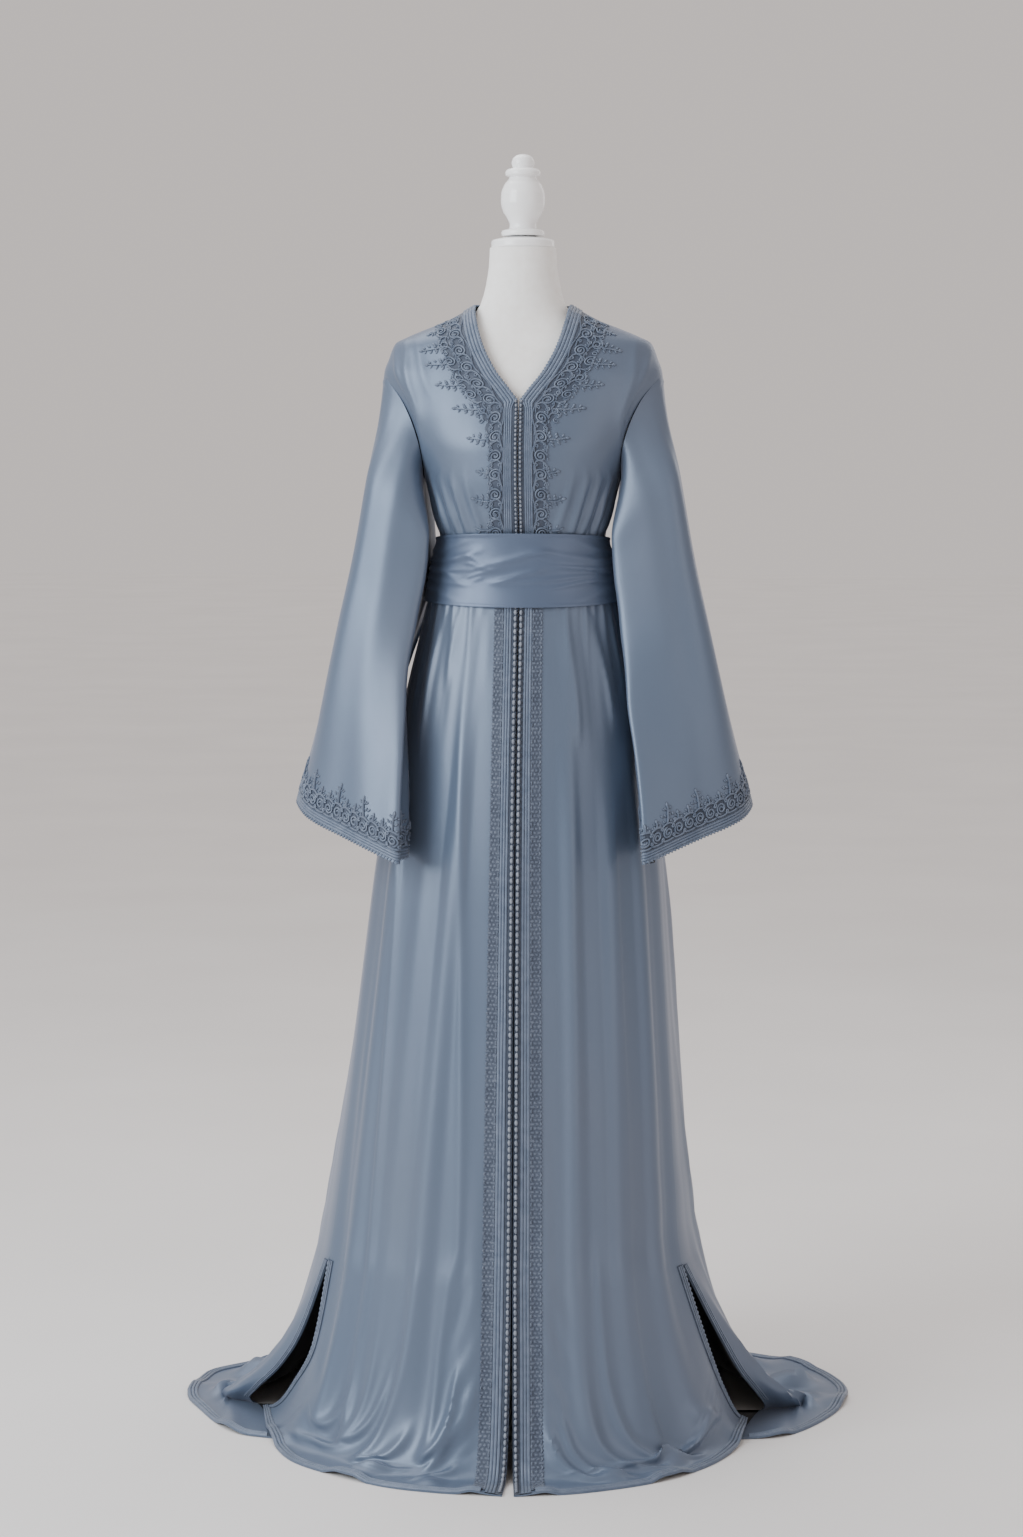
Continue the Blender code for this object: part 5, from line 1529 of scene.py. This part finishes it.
def sash():
    """The sash's closed band: plain rings, and the pleats and long soft folds that stand out of them."""
    angle = 2.0 * np.pi * np.arange(SASH_COLUMNS) / SASH_COLUMNS
    share = np.linspace(0.0, 1.0, SASH_ROWS)[:, None]
    ahead = np.maximum(0.0, np.cos(angle))[None, :]
    low = 1.187 - 0.007 * ahead
    length = 1.275 + 0.009 * ahead - low
    z = low + length * share
    points = np.zeros((SASH_ROWS, SASH_COLUMNS, 3))
    for hand in (-1, 1):
        chosen = (angle <= np.pi) == (hand > 0)
        folded = angle[chosen] if hand > 0 else 2.0 * np.pi - angle[chosen]
        points[:, chosen] = ring_points(folded * np.ones((SASH_ROWS, 1)), z[:, chosen], hand)
    aside = np.sin(angle)[None, :] ** 2
    stand = 0.0048 + 0.0010 * aside + 0.0030 * share * (1.0 - aside)
    turn = np.where(angle <= np.pi, angle, angle - 2.0 * np.pi)[None, :]
    place = np.clip(turn / (0.5 * np.pi), -1.0, 1.0)
    behind = smooth((np.abs(turn) - 0.5 * np.pi) / 0.5)
    wander = 0.010 * np.sin(turn * 3.0 + 0.6)
    beside = smooth((np.abs(place) - 0.25) / 0.55)
    for pinch, fan, height, width in SASH_FOLDS:
        path = pinch + (fan - pinch) * (1.0 - beside + 0.5 * behind) + wander
        stand = stand + height * beside * crest((share - path) * length, width)
    for first, low_share, last, high_share, height, width in SASH_SWEEPS:
        run = (turn - first) / (last - first)
        path = low_share + (high_share - low_share) * smooth(run) + 0.02 * np.sin(run * 6.0)
        window = smooth(run / 0.25) * smooth((1.0 - run) / 0.35)
        stand = stand + height * window * crest((share - path) * length, width)
    lens = np.exp(-(((turn + 0.42) / 0.24) ** 2) - (((share - 0.55) / 0.22) ** 2))
    rim = bump(share - 0.015, 0.030) + bump(share - 0.985, 0.030)
    stand = stand + 0.0026 * lens + 0.0011 * rim
    points = points + unit(points * (1.0, 1.4, 0.0)) * stand[..., None]
    outward = -grid_normals(points, True)
    if np.sum(outward * (points - points.mean(axis=1, keepdims=True))) < 0.0:
        outward = -outward
    return shell("sash_cloth", points, outward, True, False, [SASH_SATIN, PAINTED_SHADE_LINING])


cloth["sash"] = placed(sash(), "satin", "sash")


def slit_shade_sheet(side_name):
    """A near-black sheet of painted shade on the floor inside the slit, from the back's edge to under the
    front.
    """
    edge = surfaces["back_" + side_name][: len(FLARE_MARKS), -1]
    low = edge[edge[:, 2] < 0.010][::-1]
    steps = np.linspace(0.0, 1.0, 8)[None, :, None]
    inner = low * (0.72, 0.80, 1.0)
    points = low[:, None] * (1.0 - steps) + inner[:, None] * steps
    points[..., 2] = 0.0007
    rows, columns = points.shape[:2]
    upper = points.reshape(-1, 3)
    lower = upper - (0.0, 0.0, 0.0006)
    quads = grid_quads(rows, columns, False, side_name == "left")
    faces = np.concatenate([quads, quads[:, ::-1] + len(upper)])
    return mesh_object("slit_shade_sheet_" + side_name, np.concatenate([upper, lower]), faces, [PAINTED_SHADE_LINING])


# Painted shade: near-black sheets on the floor inside both slits.
for side_name in ("left", "right"):
    placed(slit_shade_sheet(side_name), "satin")

# The form's torso: height, half width, front depth, back depth
TORSO = np.array((
    (0.840, 0.1500, 0.120, 0.125), (0.950, 0.1520, 0.122, 0.130), (1.050, 0.1380, 0.106, 0.112),
    (1.130, 0.1180, 0.090, 0.092), (1.200, 0.1020, 0.078, 0.078), (1.250, 0.1000, 0.078, 0.077),
    (1.310, 0.1120, 0.090, 0.083), (1.360, 0.1260, 0.106, 0.092), (1.400, 0.1400, 0.108, 0.095),
    (1.440, 0.1540, 0.099, 0.091), (1.480, 0.1650, 0.088, 0.086), (1.510, 0.1710, 0.077, 0.080),
    (1.533, 0.1676, 0.0692, 0.0745), (1.5475, 0.1545, 0.0643, 0.0698), (1.5615, 0.1265, 0.0594, 0.0648),
    (1.5750, 0.0976, 0.0552, 0.0597), (1.591, 0.0734, 0.0520, 0.0556), (1.612, 0.0600, 0.0505, 0.0525),
    (1.640, 0.0525, 0.0500, 0.0510), (1.668, 0.0485, 0.0480, 0.0485), (1.690, 0.0475, 0.0470, 0.0475),
))


def torso():
    """The form's body, with the sewn line that runs down its middle."""
    columns = 96
    heights = np.linspace(TORSO[0, 0], TORSO[-1, 0], 64)
    angle = 2.0 * np.pi * np.arange(columns) / columns
    wide, ahead, behind = [steady(TORSO[:, 0], TORSO[:, index], heights)[:, None] for index in (1, 2, 3)]
    deep = np.where(np.cos(angle) > 0, ahead, behind)
    seam = 1.0 - 0.010 * bump(np.minimum(angle, 2.0 * np.pi - angle), 0.05)
    z = heights[:, None] * np.ones(columns)
    points = np.stack([wide * np.sin(angle) * seam, -deep * np.cos(angle) * seam, z], axis=-1)
    return capped("torso_jersey", points, JERSEY)


CAP = ((0.0445, 1.6904), (0.0455, 1.6920), (0.0455, 1.6985), (0.0440, 1.7010), (0.0180, 1.7065))
FINIAL = (
    (0.0200, 1.7069), (0.0300, 1.7075), (0.0310, 1.7110), (0.0300, 1.7145), (0.0200, 1.7180),
    (0.0192, 1.7235), (0.0220, 1.7310), (0.0290, 1.7430), (0.0318, 1.7560), (0.0315, 1.7660),
    (0.0270, 1.7800), (0.0200, 1.7895), (0.0195, 1.7910), (0.0250, 1.7935), (0.0255, 1.7970),
    (0.0225, 1.8020), (0.0150, 1.8050), (0.0165, 1.8110), (0.0150, 1.8170), (0.0100, 1.8220),
    (0.0045, 1.8238),
)
POLE = ((0.0130, 0.0204), (0.0130, 0.8396))
BASE = ((0.1700, 0.0), (0.1720, 0.0020), (0.1720, 0.0120), (0.1600, 0.0170), (0.0300, 0.0200))
placed(torso(), "jersey", "form_torso")
placed(lathe("neck_cap_gloss", CAP, 36, 72), "gloss", "form_neck_cap")
placed(lathe("finial_gloss", FINIAL, 120, 64), "gloss", "form_finial")
placed(lathe("pole_gloss", POLE, 20, 48), "gloss", "form_pole")
placed(lathe("base_gloss", BASE, 30, 96), "gloss", "form_base")

# Flat cut of each cloth piece as width and length, and what it hangs from
CUTS = {
    "front_left": ((0.52, 1.66), "torso_jersey"),
    "front_right": ((0.48, 1.66), "torso_jersey"),
    "back": ((1.30, 1.80), "torso_jersey"),
    "sleeve_left": ((0.58, 0.68), "front_left_cloth"),
    "sleeve_right": ((0.58, 0.68), "front_right_cloth"),
    "sash": ((0.80, 0.11), "torso_jersey"),
}


def outer_area(name):
    """Area of a surface's outer face, all the way round for a sleeve."""
    points = surfaces[name]
    if name.startswith("sleeve"):
        points = np.concatenate([points, points[:, :1]], axis=1)
    along = points[:-1, 1:] - points[:-1, :-1]
    down = points[1:, :-1] - points[:-1, :-1]
    return float(np.linalg.norm(np.cross(along, down), axis=-1).sum())


areas = {name: outer_area(name) for name in surfaces}
areas["back"] = areas["back_left"] + areas["back_right"]
areas["sash"] = sum(face.area for face in cloth["sash"].data.polygons if face.material_index == 0)
for name, (flat, carrier) in CUTS.items():
    min(areas[name], flat[0] * flat[1])
    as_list(trims.get(name, []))

# Floor, light and camera
bpy.ops.mesh.primitive_plane_add(size=60.0, location=(0.0, 0.0, -0.0002))
floor = bpy.context.object
floor.name = "floor"
floor_material, tree, shader, place = clear_nodes("floor")
tree.links.new(
    ramp(tree, noise(tree, place, 1.6, 4.0), ((0.3, (0.70, 0.68, 0.67)), (0.7, (0.74, 0.72, 0.71)))),
    shader.inputs["Base Color"],
)
raised(tree, shader, noise(tree, place, 90.0, 4.0), 0.06, 0.001)
set_values(shader, {"Roughness": 0.85, "Specular IOR Level": 0.2})
floor.data.materials.append(floor_material)

world = bpy.data.worlds.new("studio")
bpy.context.scene.world = world
world.use_nodes = True
world.node_tree.nodes["Background"].inputs["Color"].default_value = (0.90, 0.83, 0.80, 1.0)
world.node_tree.nodes["Background"].inputs["Strength"].default_value = 0.80

# Lights: name, place, what it points at, width, height, power, colour
LIGHTS = (
    ("key", (-2.90, -2.50, 2.6), (0.0, 0.0, 1.05), 2.4, 3.0, 188.0, (0.86, 0.94, 1.0)),
    ("fill", (2.8, -2.6, 1.6), (0.0, 0.0, 0.9), 1.8, 2.4, 14.0, (1.0, 0.93, 0.92)),
    ("top", (-0.6, 0.4, 3.9), (0.0, 0.0, 0.8), 2.8, 2.4, 40.0, (0.97, 0.98, 1.0)),
    ("rim", (1.8, 2.4, 2.4), (0.0, 0.0, 1.1), 1.2, 2.0, 9.0, (1.0, 1.0, 1.0)),
)
for name, place, target, wide, tall, power, colour in LIGHTS:
    lamp = bpy.data.lights.new(name, "AREA")
    lamp.shape = "RECTANGLE"
    lamp.size = wide
    lamp.size_y = tall
    lamp.energy = power
    lamp.color = colour
    holder = bpy.data.objects.new(name, lamp)
    holder.location = place
    holder.rotation_euler = (Vector(target) - Vector(place)).to_track_quat("-Z", "Y").to_euler()
    bpy.context.scene.collection.objects.link(holder)

# A soft, low sun keeps the far floor as pale as the near one
sun = bpy.data.lights.new("sky", "SUN")
sun.energy = 0.95
sun.angle = math.radians(50)
sun_holder = bpy.data.objects.new("sky", sun)
sun_holder.rotation_euler = (math.radians(-18), math.radians(-22), 0.0)
bpy.context.scene.collection.objects.link(sun_holder)

# The camera stands a little to the right of the front, level with the chest and tilted down a little
AZIMUTH = math.radians(3.5)
DISTANCE = 4.5
CAMERA_HEIGHT = 1.405
PITCH = math.radians(2.5)

# The photo's focal length, its long side, the row it is centred on and the columns it is turned by, in pixels
FOCAL = 3130.0
LONG_SIDE = 1537.0
CENTRE_ROW = 584.0
TURNED_COLUMNS = 11.5
SENSOR = 36.0
camera_data = bpy.data.cameras.new("camera")
camera_data.sensor_fit = "AUTO"
camera_data.sensor_width = SENSOR
camera_data.lens = FOCAL / LONG_SIDE * SENSOR
camera_data.shift_y = -(LONG_SIDE * 0.5 - CENTRE_ROW) / LONG_SIDE
camera_data.clip_start = 0.05
camera_data.clip_end = 200.0
camera = bpy.data.objects.new("camera", camera_data)
camera.location = (DISTANCE * math.sin(AZIMUTH), -DISTANCE * math.cos(AZIMUTH), CAMERA_HEIGHT)
camera.rotation_euler = (0.5 * math.pi - PITCH, 0.0, AZIMUTH + math.atan(TURNED_COLUMNS / FOCAL))
bpy.context.scene.collection.objects.link(camera)
bpy.context.scene.camera = camera

bpy.context.view_layer.update()
